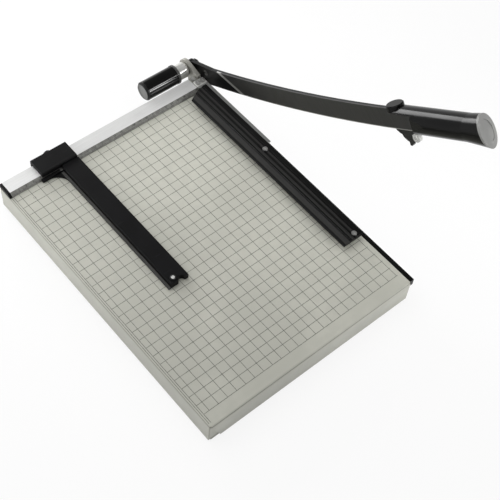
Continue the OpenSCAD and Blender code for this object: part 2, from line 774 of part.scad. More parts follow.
module root_screw() {
  color([0.55, 0.55, 0.55]) at_arm() translate([blade_x + root_head_t, -root_screw_at[0], root_screw_at[1]])
    rotate([0, -90, 0]) screw(bar_out - blade_x - root_head_t - 1, screw_r, root_head_r, root_head_t);
}

module pivot_shaft() {
  color([0.66, 0.66, 0.66]) at_arm()
    rod_x(shaft_left, bar_out + arm_washer_t + arm_nut_len - 1.5 - shaft_left, shaft_r);
}

module shaft_nut() {
  color([0.60, 0.60, 0.60]) at_arm() difference() {
    translate([spring_left - washer_t - shaft_nut_t, 0, 0]) rotate([0, 90, 0]) cylinder(h = shaft_nut_t, r = shaft_nut_r, $fn = 6);
    rod_x(spring_left - washer_t - shaft_nut_t - cut_eps, shaft_nut_t + 2 * cut_eps, shaft_r + fit_gap);
  }
}

module spring_washers() {
  color([0.62, 0.62, 0.62]) at_arm() for (x = [spring_left - washer_t, spring_right]) difference() {
    rod_x(x, washer_t, shaft_nut_r + 0.8);
    rod_x(x - cut_eps, washer_t + 2 * cut_eps, shaft_r + fit_gap);
  }
}

// Compression spring: rings of points swept along a helix round the shaft
spring_steps = 8;
spring_sides = 6;
spring_rings = spring_turns * spring_steps + 1;
function spring_point(i, j) =
  let (a = 360 * i / spring_steps, c = 360 * j / spring_sides, r = spring_r + spring_wire_r * cos(c))
  [spring_left + 0.1 + spring_wire_r + spring_pitch * i / spring_steps + spring_wire_r * sin(c), r * cos(a), r * sin(a)];
echo(least_gap_between_turns = spring_pitch - 2 * spring_wire_r);

module pivot_spring() {
  last = (spring_rings - 1) * spring_sides;
  color([0.55, 0.55, 0.56]) at_arm() polyhedron(
    points = [for (i = [0 : spring_rings - 1], j = [0 : spring_sides - 1]) spring_point(i, j)],
    faces = concat(
      [for (i = [0 : spring_rings - 2], j = [0 : spring_sides - 1])
        let (k = (j + 1) % spring_sides)
        [i * spring_sides + j, i * spring_sides + k, (i + 1) * spring_sides + k, (i + 1) * spring_sides + j]],
      [[for (j = [spring_sides - 1 : -1 : 0]) j], [for (j = [0 : spring_sides - 1]) last + j]]));
}

module arm_washer() {
  color([0.62, 0.62, 0.62]) at_arm() difference() {
    rod_x(bar_out, arm_washer_t, arm_washer_r);
    rod_x(bar_out - cut_eps, arm_washer_t + 2 * cut_eps, shaft_r + fit_gap);
  }
}

// Domed nut on the outer end of the shaft
module arm_nut() {
  x0 = bar_out + arm_washer_t;
  dome = 2.5;
  color([0.10, 0.10, 0.10]) at_arm() difference() {
    translate([x0, 0, 0]) rotate([0, 90, 0]) union() {
      cylinder(h = arm_nut_len - dome, r = arm_nut_r);
      translate([0, 0, arm_nut_len - dome]) cylinder(h = dome, r1 = arm_nut_r, r2 = arm_nut_r - dome);
    }
    rod_x(x0 - cut_eps, arm_nut_len - 1.4 + cut_eps, shaft_r + fit_gap);
  }
}

// Grip: a saddle over the arm with a thumb rest, flat flanks that run out into the round part,
// and a flared, slanted end
module handle_grip() {
  chamfer = 1;
  rest_sink = 3;
  slot_l = blade_x - grip_x - 0.2;
  slot_w2 = bar_out - blade_x + 0.4;
  slot_top = arm_h / 2 + 0.6;
  flank = rest_r - flank_inset;
  far = 2 * grip_r;
  flank_far = rest_z + (far - flank) * (flank_end - rest_z) / (grip_r - flank);
  color([0.05, 0.05, 0.05]) difference() {
    union() {
      difference() {
        grip_round(rest_z);
        at_grip() for (side = [-1, 1]) translate([0, far, 0]) rotate([90, 0, 0]) linear_extrude(2 * far)
          polygon([[side * flank, rest_z - 1], [side * flank, rest_z], [side * far, flank_far], [side * far, rest_z - 1]]);
      }
      at_grip() translate([0, saddle_b - rest_sink, rest_z]) rotate([-90, 0, 0]) {
        cylinder(h = rest_h - saddle_b + rest_sink - chamfer, r = rest_r);
        translate([0, 0, rest_h - saddle_b + rest_sink - chamfer]) cylinder(h = chamfer, r1 = rest_r, r2 = rest_r - chamfer);
      }
    }
    at_grip() {
      translate([-far, saddle_b - 60, -60]) cube([2 * far, 60, 60 + grip_full]);
      translate([slot_l, -30, -60]) cube([slot_w2, 30 + slot_top, 60 + grip_full]);
      translate([-bar_t / 2 - 0.1, -tang_h / 2 - 0.1, grip_full - cut_eps])
        cube([bar_t + 0.2, tang_h + 0.2, tang_end - grip_full + cut_eps + 0.3]);
      for (z = pin_zs) translate([0, 0, z]) rod_x(-7, 30, pin_r + fit_gap);
    }
    at_end() translate([0, 0, -cap_t]) {
      translate([-60, -60, 0]) cube(120);
      translate([0, 0, -cap_plug_len - 0.3]) cylinder(h = cap_plug_len + 1, r = cap_plug_r + fit_gap);
    }
  }
}

// Disc over the whole slanted end, with a plug in the grip and a shallow recess in its face
module grip_end_cap() {
  color([0.42, 0.42, 0.42]) difference() {
    union() {
      difference() {
        grip_round(heel_z - 1);
        at_end() translate([-60, -60, 0]) cube(120);
        at_end() translate([-60, -60, -120 - cap_t]) cube(120);
      }
      at_end() translate([0, 0, -cap_t - cap_plug_len]) cylinder(h = cap_plug_len + cut_eps, r = cap_plug_r);
    }
    at_end() translate([0, 0, -0.6]) cylinder(h = 0.6 + cut_eps, r = grip_r - 3.2);
  }
}

module grip_pins() {
  pin_out = sqrt(grip_r * grip_r - pin_r * pin_r) - 0.2;
  color([0.60, 0.60, 0.60]) at_grip() for (z = pin_zs) translate([0, 0, z]) rod_x(-6.8, pin_out + 6.8, pin_r);
}

module latch_pin() {
  color([0.62, 0.62, 0.62]) at_arm() translate([0, -hook_pin_s, hook_pin_t]) {
    rod_x(bar_x + 0.8, hook_x + hook_t + 0.4 - bar_x - 0.8, hook_pin_r);
    rod_x(hook_x + hook_t + 0.3, 1.6, hook_pin_head_r);
  }
}

// Hook, drawn as it sits on the stud and swung away by the frame: a lug on the pin, an eye for a finger,
// and a pocket in its inner side where the stud slides in over the jaw from the rear
module latch_hook() {
  jaw = hook_reach + stud_r + hook_slot_gap;
  inner = hook_reach - stud_r - hook_slot_gap;
  jaw_back = stud_r + 1.1;
  pocket = hook_t - hook_skin;
  color([0.06, 0.06, 0.06]) at_hook() difference() {
    union() {
      rod_x(hook_x, hook_t, hook_hub_r);
      yz(hook_x, hook_t) polygon([[2, 5], [hook_hub_r + 2, 1], [15.7, -6.4], [14.4, -10.7], [13.8, -17.9],
        [11, -jaw + 0.7], [5.8, -jaw - 4.6], [3.1, -jaw - 6.2], [0.4, -jaw - 4.6], [-hook_eye[0] + 1, -hook_eye[1] - 3],
        [-hook_eye[0] - 1, -hook_eye[1] + 4], [-5, -6]]);
      translate([0, -hook_eye[0], -hook_eye[1]]) rod_x(hook_x, hook_t, hook_eye_r);
    }
    rod_x(hook_x - cut_eps, hook_t + 2 * cut_eps, hook_pin_r + run_gap);
    translate([0, -hook_eye[0], -hook_eye[1]]) rod_x(hook_x - cut_eps, hook_t + 2 * cut_eps, hook_eye_hole);
    translate([0, 0, -hook_reach]) rod_x(hook_x - cut_eps, pocket + cut_eps, stud_r + hook_slot_gap);
    yz(hook_x - cut_eps, pocket + cut_eps) polygon(concat(
      [for (a = [0 : 15 : 60]) [inner * sin(a), -inner * cos(a)]],
      [[40, -inner * cos(60)], [40, -jaw - 20], [jaw_back + 7.2, -jaw - 20], [jaw_back, -jaw], [0, -jaw]]));
  }
}

// Gauge arm: raised bar, low flange on its left, wing along the rule, tongue under the head
module gauge_arm() {
  flange_left = gauge_left - gauge_flange_w;
  wing_y = gauge_front_y - wing_w;
  color([0.07, 0.07, 0.07]) at_table() difference() {
    union() {
      xz(gauge_end_y, gauge_len) polygon([[flange_left, gauge_float], [flange_left, gauge_flange_h],
        [gauge_left, gauge_flange_h], [gauge_left, gauge_h - gauge_edge], [gauge_left + gauge_edge, gauge_h],
        [gauge_right - gauge_edge, gauge_h], [gauge_right, gauge_h - gauge_edge], [gauge_right, gauge_float]]);
      translate([wing_left, wing_y, gauge_float])
        cube([gauge_left - wing_left + 1, wing_w, wing_h - gauge_float]);
      translate([flange_left - wing_fillet, wing_y - wing_fillet, gauge_float]) difference() {
        cube([wing_fillet + 1, wing_fillet + 1, gauge_flange_h - gauge_float]);
        translate([0, 0, -cut_eps]) cylinder(h = gauge_flange_h + 2 * cut_eps, r = wing_fillet);
      }
      translate([gauge_left + tongue_inset, gauge_front_y - 1, head_under + 0.1])
        cube([gauge_w - 2 * tongue_inset, tongue_back - gauge_front_y + 1, tongue_top - head_under - 0.1]);
    }
    translate([notch_x, gauge_end_y, -cut_eps]) cylinder(h = gauge_h + 2 * cut_eps, r = notch_r);
    for (x = gauge_screw_xs) translate([x, gauge_screw_y, head_under]) {
      cylinder(h = small_head_h + 0.1, r = small_head_r + fit_gap);
      cylinder(h = tongue_top, r = small_screw_r + fit_gap);
    }
    translate([end_screw_at[0], end_screw_at[1], gauge_h]) screw_hole(gauge_h, small_screw_r);
  }
}

module gauge_head() {
  pad_room = 0.1;
  color([0.07, 0.07, 0.07]) at_table() difference() {
    yz(gauge_x, head_w) polygon([[head_front_y, head_under], [head_front_y, head_h - head_edge],
      [head_front_y + head_edge, head_h], [head_back - head_edge, head_h], [head_back, head_h - head_edge],
      [head_back, gauge_float], [head_lip_y, gauge_float], [head_lip_y, head_under]]);
    translate([gauge_left + tongue_inset - pad_room, head_front_y - cut_eps, head_under - cut_eps])
      cube([gauge_w - 2 * tongue_inset + 2 * pad_room, tongue_back - head_front_y + cut_eps + pad_room,
        tongue_top - head_under + cut_eps + pad_room]);
    for (x = gauge_screw_xs) translate([x, gauge_screw_y, head_under]) cylinder(h = head_h - 1 - head_under, r = small_screw_r + fit_gap);
    translate([clamp_x, 0, clamp_z]) rod_y(head_lip_y - cut_eps, head_lip_t + 2 * cut_eps, screw_r + run_gap);
    translate([clamp_x - pad_size[0] / 2 - pad_room, head_lip_y - cut_eps, clamp_z - pad_size[2] / 2 - pad_room])
      cube([pad_size[0] + 2 * pad_room, pad_y + pad_size[1] - head_lip_y + cut_eps + pad_room, pad_size[2] + 2 * pad_room]);
  }
}

module gauge_screws() {
  color([0.62, 0.62, 0.62]) at_table() for (x = gauge_screw_xs)
    translate([x, gauge_screw_y, head_under + small_head_h + 0.1]) mirror([0, 0, 1])
      screw(head_h - 1.4 - head_under - small_head_h, small_screw_r, small_head_r, small_head_h);
}

module gauge_end_screw() {
  color([0.74, 0.74, 0.74]) at_table() translate([end_screw_at[0], end_screw_at[1], gauge_h])
    screw(gauge_h - 0.4, small_screw_r, 3.6, 1.5);
}

module glide_pad() {
  pad_gap = 0.2;
  color([0.85, 0.85, 0.82]) at_table() difference() {
    translate([gauge_left + 1, gauge_end_y + 1, pad_gap]) cube([gauge_w - 2, glide_len, gauge_float - pad_gap]);
    translate([notch_x, gauge_end_y, -cut_eps]) cylinder(h = 2, r = notch_r + 0.4);
    translate([end_screw_at[0], end_screw_at[1], gauge_h]) screw_hole(gauge_h, small_screw_r);
  }
}

module clamp_pad() {
  color([0.70, 0.55, 0.28]) at_table() translate([clamp_x - pad_size[0] / 2, pad_y, clamp_z - pad_size[2] / 2]) cube(pad_size);
}

// Thumbscrew behind the gauge head, fluted round its rim
module clamp_screw() {
  tip = pad_y + pad_size[1] + 0.05;
  color([0.08, 0.08, 0.08]) at_table() translate([clamp_x, 0, clamp_z]) difference() {
    union() {
      rod_y(tip, head_back + slide_gap - tip + cut_eps, screw_r);
      rod_y(head_back + slide_gap, clamp_len, clamp_r);
    }
    for (i = [0 : clamp_flutes - 1]) rotate([0, i * 360 / clamp_flutes, 0]) translate([clamp_r + 0.4, 0, 0])
      rod_y(head_back - cut_eps, clamp_len + 2, 0.9);
  }
}

base_tray();
rubber_feet();
foot_screws();
rear_rule();
rule_end_cap();
rule_screws();
lower_blade();
lower_blade_screws();
pivot_bracket();
bracket_screws();
pivot_boss();
pivot_bush();
spring_housing();
housing_end_cap();
housing_collar();
guard_carrier();
carrier_screws();
finger_guard();
guard_screws();
latch_stud();
arm_bar();
upper_blade();
blade_screws();
root_screw();
pivot_shaft();
shaft_nut();
spring_washers();
pivot_spring();
arm_washer();
arm_nut();
handle_grip();
grip_end_cap();
grip_pins();
latch_pin();
latch_hook();
gauge_arm();
gauge_head();
gauge_screws();
gauge_end_screw();
glide_pad();
clamp_pad();
clamp_screw();
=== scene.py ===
"""Looks of a guillotine paper trimmer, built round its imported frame.

Lengths in the classes are millimetres in the table frame: X from the left wall, Y from the front
wall and Z from the table top. Meshes and materials are in metres, in the frame's own axes.
"""

from __future__ import annotations

import json
import logging
import math
from dataclasses import dataclass
from enum import Enum, IntEnum
from typing import Any, Iterable, Union

import bmesh
import bpy
from bpy.types import ID, Material, Mesh, Node, NodeSocket, NodeTree, Object
from mathutils import Matrix, Vector

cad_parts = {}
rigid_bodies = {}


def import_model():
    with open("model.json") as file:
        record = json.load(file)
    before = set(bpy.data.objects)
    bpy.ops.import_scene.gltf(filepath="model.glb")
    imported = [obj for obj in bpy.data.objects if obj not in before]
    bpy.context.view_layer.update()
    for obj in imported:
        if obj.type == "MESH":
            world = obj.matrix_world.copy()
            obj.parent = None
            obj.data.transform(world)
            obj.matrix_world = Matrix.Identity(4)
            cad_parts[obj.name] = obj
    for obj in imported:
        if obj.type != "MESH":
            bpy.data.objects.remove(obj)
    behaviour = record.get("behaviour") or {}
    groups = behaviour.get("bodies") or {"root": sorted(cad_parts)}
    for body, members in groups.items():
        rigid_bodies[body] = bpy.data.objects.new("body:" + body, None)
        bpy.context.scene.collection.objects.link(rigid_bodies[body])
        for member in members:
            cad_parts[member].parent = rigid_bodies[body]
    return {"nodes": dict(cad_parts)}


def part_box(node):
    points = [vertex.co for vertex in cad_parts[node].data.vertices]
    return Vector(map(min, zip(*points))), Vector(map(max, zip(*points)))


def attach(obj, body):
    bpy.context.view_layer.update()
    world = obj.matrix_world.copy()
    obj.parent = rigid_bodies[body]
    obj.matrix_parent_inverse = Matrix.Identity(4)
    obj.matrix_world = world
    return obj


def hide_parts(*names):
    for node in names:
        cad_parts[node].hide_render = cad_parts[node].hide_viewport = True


LOG = logging.getLogger("trimmer")
# A millimetre in metres, then a centimetre and an inch in millimetres.
MM = 0.001
CM = 10
INCH = 25.4

Colour = tuple[float, float, float]
Point = tuple[float, float, float]
Pair = tuple[float, float]
Key = Union[int, str]
Sockets = dict[Any, Any]
Operand = Union["Value", float]

WHITE: Colour = (1.0, 1.0, 1.0)


def srgb(*levels: int) -> Colour:
    """Turns display values, red, green and blue from 0 to 255, into linear light."""
    shares = [level / 255 for level in levels]
    return tuple(s / 12.92 if s <= 0.04045 else ((s + 0.055) / 1.055) ** 2.4 for s in shares)


def shade(colour: Colour, factor: float) -> Colour:
    """A colour made lighter or darker."""
    return tuple(min(1.0, channel * factor) for channel in colour)


class Body(Enum):
    """The bodies that new pieces ride on."""

    BASE = "base"
    LATCH = "latch"
    GAUGE = "gauge"


class Slot(Enum):
    """The record's material slots, named with each new piece."""

    TABLE_PAINT = "table_paint"
    RULE_ALUMINIUM = "rule_aluminium"
    BLACK_PLASTIC = "black_plastic"
    BLACK_STEEL = "black_steel"
    PLATED_STEEL = "plated_steel"


class Axis(IntEnum):
    """The frame's axes."""

    X = 0
    Y = 1
    Z = 2


class Value:
    """A value socket on which Python arithmetic adds Math nodes."""

    def __init__(self, board: Board, socket: NodeSocket) -> None:
        """Keeps the socket and the board that it is on."""
        self.board = board
        self.socket = socket

    def math(self, operation: str, *others: Operand) -> Value:
        """Adds a Math node with this value first and the others after it."""
        sockets = dict(enumerate((self, *others)))
        return self.board.take(self.board.node("ShaderNodeMath", sockets, operation=operation))

    def __add__(self, other: Operand) -> Value:
        """This plus the other."""
        return self.math("ADD", other)

    __radd__ = __add__

    def __sub__(self, other: Operand) -> Value:
        """This less the other."""
        return self.math("SUBTRACT", other)

    def __rsub__(self, other: float) -> Value:
        """The other less this."""
        return self * -1.0 + other

    def __mul__(self, other: Operand) -> Value:
        """This times the other."""
        return self.math("MULTIPLY", other)

    __rmul__ = __mul__

    def hypot(self, other: Value) -> Value:
        """The distance that this and the other make at right angles."""
        return (self * self + other * other).math("SQRT")

    def step(self, low: float, high: float) -> Value:
        """Eases from 0 at one value to 1 at another.

        Args:
            low: Where the result is 0.
            high: Where the result is 1.

        Returns:
            The eased value.
        """
        turned = low > high
        start, end = (high, low) if turned else (low, high)
        sockets = {"Value": self, "From Min": start, "From Max": end}
        ramp = self.board.node("ShaderNodeMapRange", sockets, interpolation_type="SMOOTHSTEP")
        eased = self.board.take(ramp)
        return 1.0 - eased if turned else eased

    def within(self, low: float, high: float, soft: float) -> Value:
        """Gives 1 between two values and 0 outside, with soft ends."""
        return self.step(low - soft, low + soft) * self.step(high + soft, high - soft)


class Board:
    """The nodes of one tree."""

    def __init__(self, tree: NodeTree) -> None:
        """Empties the tree."""
        self.tree = tree
        tree.nodes.clear()

    def feed(self, socket: NodeSocket, value: Any) -> None:
        """Links or sets an input.

        Args:
            socket: The input.
            value: A Value, a node whose first output is meant, or what the input is set to.
        """
        if isinstance(value, Value):
            self.tree.links.new(value.socket, socket)
        elif isinstance(value, Node):
            self.tree.links.new(value.outputs[0], socket)
        else:
            socket.default_value = (*value, 1.0) if socket.type == "RGBA" else value

    def node(self, kind: str, sockets: Sockets | None = None, **settings: Any) -> Node:
        """Adds a node.

        Args:
            kind: The node's type.
            sockets: What feeds its inputs, by their names or numbers.
            settings: Its settings, set first.

        Returns:
            The node.
        """
        made = self.tree.nodes.new(kind)
        for key, value in settings.items():
            setattr(made, key, value)
        for key, value in (sockets or {}).items():
            self.feed(made.inputs[key], value)
        return made

    def take(self, node: Node, key: Key = 0) -> Value:
        """One output of a node as a value."""
        return Value(self, node.outputs[key])

    def axes(self, kind: str = "Object") -> tuple[Value, ...]:
        """The point's place, or another texture coordinate, one value for each axis."""
        split = self.node("ShaderNodeSeparateXYZ", {0: self.place(kind)})
        return tuple(self.take(split, i) for i in range(3))

    def place(self, kind: str = "Object") -> Value:
        """The point's place, or another texture coordinate, as one vector."""
        return self.take(self.node("ShaderNodeTexCoord"), kind)

    def distance(self, axis: Axis, centre: Pair) -> Value:
        """The point's distance from a line along an axis, which meets the other two axes at centre."""
        first, second = (spot for i, spot in enumerate(self.axes()) if i != axis)
        return (first - centre[0]).hypot(second - centre[1])

    def vector(self, x: Any, y: Any, z: Any) -> Value:
        """Three values as one vector."""
        return self.take(self.node("ShaderNodeCombineXYZ", {0: x, 1: y, 2: z}))

    def noise(self, place: Value, scale: float, detail: float, rough: float = 0.55) -> Value:
        """Fractal noise, from about 0.3 to 0.7, with scale waves in a metre and detail octaves."""
        sockets = {"Vector": place, "Scale": scale, "Detail": detail, "Roughness": rough}
        return self.take(self.node("ShaderNodeTexNoise", sockets), "Fac")

    def mix(self, share: Any, first: Any, second: Any) -> Value:
        """The first colour with a share of the second."""
        # A Mix node's colours are its inputs 6 and 7 and its output 2.
        made = self.node("ShaderNodeMix", {0: share, 6: first, 7: second}, data_type="RGBA")
        return self.take(made, 2)

    def cover(self, made: dict[str, Value], share: Value, colour: Any) -> None:
        """Covers a share of a surface, given as its shader's links, with another colour."""
        made["Base Color"] = self.mix(share, made["Base Color"], colour)

    def bump(self, height: Value, depth: float, strength: float) -> Value:
        """The surface direction that a height from 0 to 1 gives, where 1 is depth metres."""
        sockets = {"Height": height, "Distance": depth, "Strength": strength}
        return self.take(self.node("ShaderNodeBump", sockets))


@dataclass(frozen=True)
class Finish:
    """A surface finish that makes one material.

    Attributes:
        name: The material's name.
        colour: Its main colour.
        roughness: Its main roughness.
        metallic: 1 for bare metal.
        specular: The strength of its gloss.
    """

    name: str
    colour: Colour
    roughness: float
    metallic: float = 0.0
    specular: float = 0.5

    def material(self) -> Material:
        """Makes the finish's material, once.

        Returns:
            The material.
        """
        title = f"{self.name}_finish"
        made = bpy.data.materials.get(title)
        if made is None:
            made = bpy.data.materials.new(title)
            made.use_nodes = True
            board = Board(made.node_tree)
            constants = {
                "Base Color": self.colour,
                "Roughness": self.roughness,
                "Metallic": self.metallic,
                "Specular IOR Level": self.specular,
            }
            shader = board.node("ShaderNodeBsdfPrincipled", constants)
            board.node("ShaderNodeOutputMaterial", {"Surface": shader})
            for key, value in self.surface(board).items():
                board.feed(shader.inputs[key], value)
        return made

    def surface(self, board: Board) -> dict[str, Value]:
        """Inputs that change over the surface, which each finish gives.

        Args:
            board: The material's nodes.

        Returns:
            The shader's links.
        """
        raise NotImplementedError

    def tint(self, factor: float) -> Colour:
        """The main colour, made lighter or darker."""
        return shade(self.colour, factor)


@dataclass(frozen=True, kw_only=True)
class TablePaint(Finish):
    """Sprayed enamel on the folded table: slight mottling, a dark line of painted shade along the folds
    and painted shade low down on the walls.

    Attributes:
        origin: The table frame's origin, in metres.
        width: The table's width, mm.
        length: The table's length, mm.
        fold: The fold's radius, mm.
    """

    origin: Point
    width: float = 300.0
    length: float = 405.0
    fold: float = 2.5

    def surface(self, board: Board) -> dict[str, Value]:
        """Mottled enamel with painted shade along the folds and low on the walls.

        Args:
            board: The material's nodes.

        Returns:
            The shader's links.
        """
        place = board.place()
        left, front, low = ((spot - zero) * (1 / MM) for spot, zero in zip(board.axes(), self.origin))
        clouds = board.noise(place, 9.0, 2.0)
        mottle = board.noise(place, 60.0, 4.0)
        speck = board.noise(place, 1400.0, 2.0)
        base = board.mix(clouds.step(0.35, 0.65), self.tint(0.95), self.tint(1.05))
        base = board.mix(mottle.step(0.4, 0.6) * 0.35, base, self.tint(0.92))
        base = board.mix(speck.step(0.62, 0.72) * 0.10, base, self.tint(0.75))
        edge = left.math("MINIMUM", self.width - left).math("MINIMUM", front)
        edge = edge.math("MINIMUM", self.length - front)
        # Painted shade: a dark line along the top folds, where the bend turns from the light.
        line = (edge + low).math("ABSOLUTE").step(0.75, 0.15) * low.step(-self.fold, -0.3)
        base = board.mix(line * 0.75, base, self.tint(0.28))
        # Painted shade: the walls get darker towards the bottom, near the floor.
        base = board.mix(low.step(-10.0, -31.0) * 0.35, base, self.tint(0.72))
        rough = self.roughness + (mottle - 0.5) * 0.16 + line * 0.1
        peel = board.noise(place, 420.0, 1.5)
        return {"Base Color": base, "Roughness": rough, "Normal": board.bump(peel, 0.00006, 0.5)}


@dataclass(frozen=True, kw_only=True)
class MouldedPlastic(Finish):
    """Spark-eroded moulded plastic: fine grain, flow clouds and lighter rubbed spots.

    Attributes:
        grain: Grains in a metre.
        relief: The grain's depth, metres.
        rub: How much lighter the rubbed spots are.
    """

    grain: float = 1500.0
    relief: float = 0.00005
    rub: float

    def surface(self, board: Board) -> dict[str, Value]:
        """Grained plastic.

        Args:
            board: The material's nodes.

        Returns:
            The shader's links.
        """
        x, y, z = board.axes()
        place = board.place()
        clouds = board.noise(place, 24.0, 3.0)
        grain = board.noise(place, self.grain, 2.0)
        scuff = board.noise(board.vector(x * 30, y * 240, z * 90), 1.0, 4.0)
        base = board.mix(clouds.step(0.3, 0.7), self.tint(0.8), self.tint(1.2))
        base = board.mix(scuff.step(0.6, 0.74) * self.rub, base, self.tint(2.4))
        rough = self.roughness + (clouds - 0.5) * 0.2 + (grain - 0.5) * 0.1
        return {"Base Color": base, "Roughness": rough, "Normal": board.bump(grain, self.relief, 0.7)}


@dataclass(frozen=True, kw_only=True)
class BandedPlastic(MouldedPlastic):
    """Moulded plastic with paler, duller bands of painted sheen on faces that look up, where ridges and
    edges catch the light.

    Attributes:
        bands: Left and right side of each band, metres along X.
        band_colour: The colour of the painted sheen.
        soft: Half the width of a band's soft sides, metres.
    """

    bands: tuple[Pair, ...]
    band_colour: Colour
    soft: float = 0.0004

    def surface(self, board: Board) -> dict[str, Value]:
        """Grained plastic with the bands of painted sheen.

        Args:
            board: The material's nodes.

        Returns:
            The shader's links.
        """
        made = super().surface(board)
        x, y, z = board.axes()
        # The bands are painted sheen on faces that look up; the noise only makes them uneven.
        worn = board.noise(board.vector(x * 260, y * 40, z * 40), 1.0, 5.0, 0.65)
        inside = sum(x.within(*band, self.soft) for band in self.bands)
        inside = inside * board.axes("Normal")[Axis.Z].step(0.4, 0.8)
        share = inside * (0.55 + worn * 0.5)
        board.cover(made, share, self.band_colour)
        made["Roughness"] += inside * 0.12
        return made


@dataclass(frozen=True, kw_only=True)
class RimmedDisc(MouldedPlastic):
    """Disc with a dark rim round a paler face.

    Attributes:
        centre: The disc's place on the two axes across its own, metres.
        radius: The disc's radius, metres.
        axis: The disc's own axis.
        rim: Share of the radius where the rim starts.
        rim_colour: The rim's colour.
        soft: Half the width of the rim's soft side, as a share of the radius.
    """

    centre: Pair
    radius: float
    axis: Axis = Axis.X
    rim: float = 0.82
    rim_colour: Colour = (0.004, 0.004, 0.004)
    soft: float = 0.03

    def surface(self, board: Board) -> dict[str, Value]:
        """Grained face with the rim.

        Args:
            board: The material's nodes.

        Returns:
            The shader's links.
        """
        made = super().surface(board)
        out = board.distance(self.axis, self.centre) * (1 / self.radius)
        rim = out.step(self.rim - self.soft, self.rim + self.soft)
        board.cover(made, rim, self.rim_colour)
        return made


@dataclass(frozen=True, kw_only=True)
class BrushedMetal(Finish):
    """Bare or plated metal with fine brush lines.

    Attributes:
        along: Axis that the brush lines follow.
        contrast: How far the lines differ.
        relief: Depth of the lines, metres.
        turn: Turn of the pattern about X, degrees.
    """

    along: Axis = Axis.X
    contrast: float = 0.12
    relief: float = 0.00001
    turn: float = 0.0

    def surface(self, board: Board) -> dict[str, Value]:
        """Brush lines and soft clouds.

        Args:
            board: The material's nodes.

        Returns:
            The shader's links.
        """
        x, y, z = board.axes()
        cos, sin = math.cos(math.radians(self.turn)), math.sin(math.radians(self.turn))
        axes = [x, y * cos - z * sin, y * sin + z * cos]
        fine = self.lines(board, axes, 40.0, 4200.0, 2.0)
        broad = self.lines(board, axes, 12.0, 700.0, 3.0)
        clouds = board.noise(board.place(), 35.0, 3.0)
        low, high = self.tint(1 - self.contrast), self.tint(1 + self.contrast)
        base = board.mix((fine * 0.6 + broad * 0.4).step(0.36, 0.64), low, high)
        base = board.mix(clouds.step(0.5, 0.75) * 0.3, base, self.tint(0.8))
        rough = self.roughness + (broad - 0.5) * 0.25 + (clouds - 0.5) * 0.15
        return {"Base Color": base, "Roughness": rough, "Normal": board.bump(fine, self.relief, 0.6)}

    def lines(self, board: Board, axes: list[Value], along: float, across: float, detail: float) -> Value:
        """Noise drawn out along the brush, with so many waves in a metre along it and across it."""
        drawn = [spot * (along if axis == self.along else across) for axis, spot in zip(Axis, axes)]
        return board.noise(board.vector(*drawn), 1.0, detail)


@dataclass(frozen=True, kw_only=True)
class RuleMetal(BrushedMetal):
    """Brushed rule with a darker band on its bevel: printed ink together with painted shade.

    Attributes:
        band: Front and rear side of the band, metres along Y.
        floor: Height above which the band lies, metres.
        band_colour: The band's colour, printed ink and painted shade together.
        soft: Half the width of the band's soft sides, metres.
    """

    band: Pair
    floor: float
    band_colour: Colour
    soft: float = 0.0001

    def surface(self, board: Board) -> dict[str, Value]:
        """Brushed metal with the band.

        Args:
            board: The material's nodes.

        Returns:
            The shader's links.
        """
        made = super().surface(board)
        _, y, z = board.axes()
        wear = board.noise(board.place(), 260.0, 4.0).step(0.35, 0.65)
        inside = y.within(*self.band, self.soft) * z.step(self.floor - self.soft, self.floor)
        # The band's colour holds the printed ink and also paints the shade on the bevel.
        printed = board.mix(wear, shade(self.band_colour, 0.8), shade(self.band_colour, 1.2))
        board.cover(made, inside, printed)
        made["Roughness"] += inside * 0.15
        made["Metallic"] = self.metallic * (1.0 - inside)
        return made


@dataclass(frozen=True, kw_only=True)
class EndedMetal(BrushedMetal):
    """Brushed metal that is dull along its length, with a painted highlight that makes it bright behind a
    place along Y.

    Attributes:
        start: Where the bright end starts, metres along Y.
        bright: Colour of the painted highlight at the bright end.
        soft: Half the width of its soft side, metres.
    """

    start: float
    bright: Colour
    soft: float = 0.001

    def surface(self, board: Board) -> dict[str, Value]:
        """Brushed metal with the painted highlight at its end.

        Args:
            board: The material's nodes.

        Returns:
            The shader's links.
        """
        made = super().surface(board)
        # Painted highlight: the end near the bracket gets a pale colour and less metal so that it looks
        # lit.
        end = board.axes()[Axis.Y].step(self.start - self.soft, self.start + self.soft)
        board.cover(made, end * 0.85, self.bright)
        made["Metallic"] = self.metallic * (1.0 - end * 0.7)
        return made


@dataclass(frozen=True, kw_only=True)
class BladeMetal(BrushedMetal):
    """Dark ground blade: a bright honed edge and a bright slanted root end.

    Attributes:
        pivot: The arm's pivot, Y and Z, metres.
        middle: Distance of the curve's lowest point from the pivot, metres.
        centre: Height of the curve's centre over the pivot, metres.
        radius: Radius of the cutting edge, metres.
        bright: Colour of the honed edge.
        honed: Width of the honed edge, metres.
        root: Distance of the root end from the pivot where the arm's height is 0, metres.
        slope: How far the root end runs forward for each metre down.
        root_width: Width of the bright root end, metres.
    """

    pivot: Pair
    middle: float
    centre: float
    radius: float
    bright: Colour
    honed: float
    root: float
    slope: float
    root_width: float

    def surface(self, board: Board) -> dict[str, Value]:
        """Brushed blade with its bright ends.

        Args:
            board: The material's nodes.

        Returns:
            The shader's links.
        """
        made = super().surface(board)
        nick = board.noise(board.place(), 900.0, 3.0)
        _, y, z = board.axes()
        cos, sin = math.cos(math.radians(-self.turn)), math.sin(math.radians(-self.turn))
        back, up = y - self.pivot[0], z - self.pivot[1]
        along, across = up * sin - back * cos, back * sin + up * cos
        edge = self.radius - (along - self.middle).hypot(across - self.centre)
        hone = edge.step(self.honed * 1.4, self.honed * 0.6)
        end = (along + across * self.slope - self.root) * (1 / math.hypot(1, self.slope))
        root = end.step(self.root_width * 1.2, self.root_width * 0.7)
        share = hone.math("MAXIMUM", root) * (0.75 + nick * 0.4)
        board.cover(made, share, self.bright)
        return made


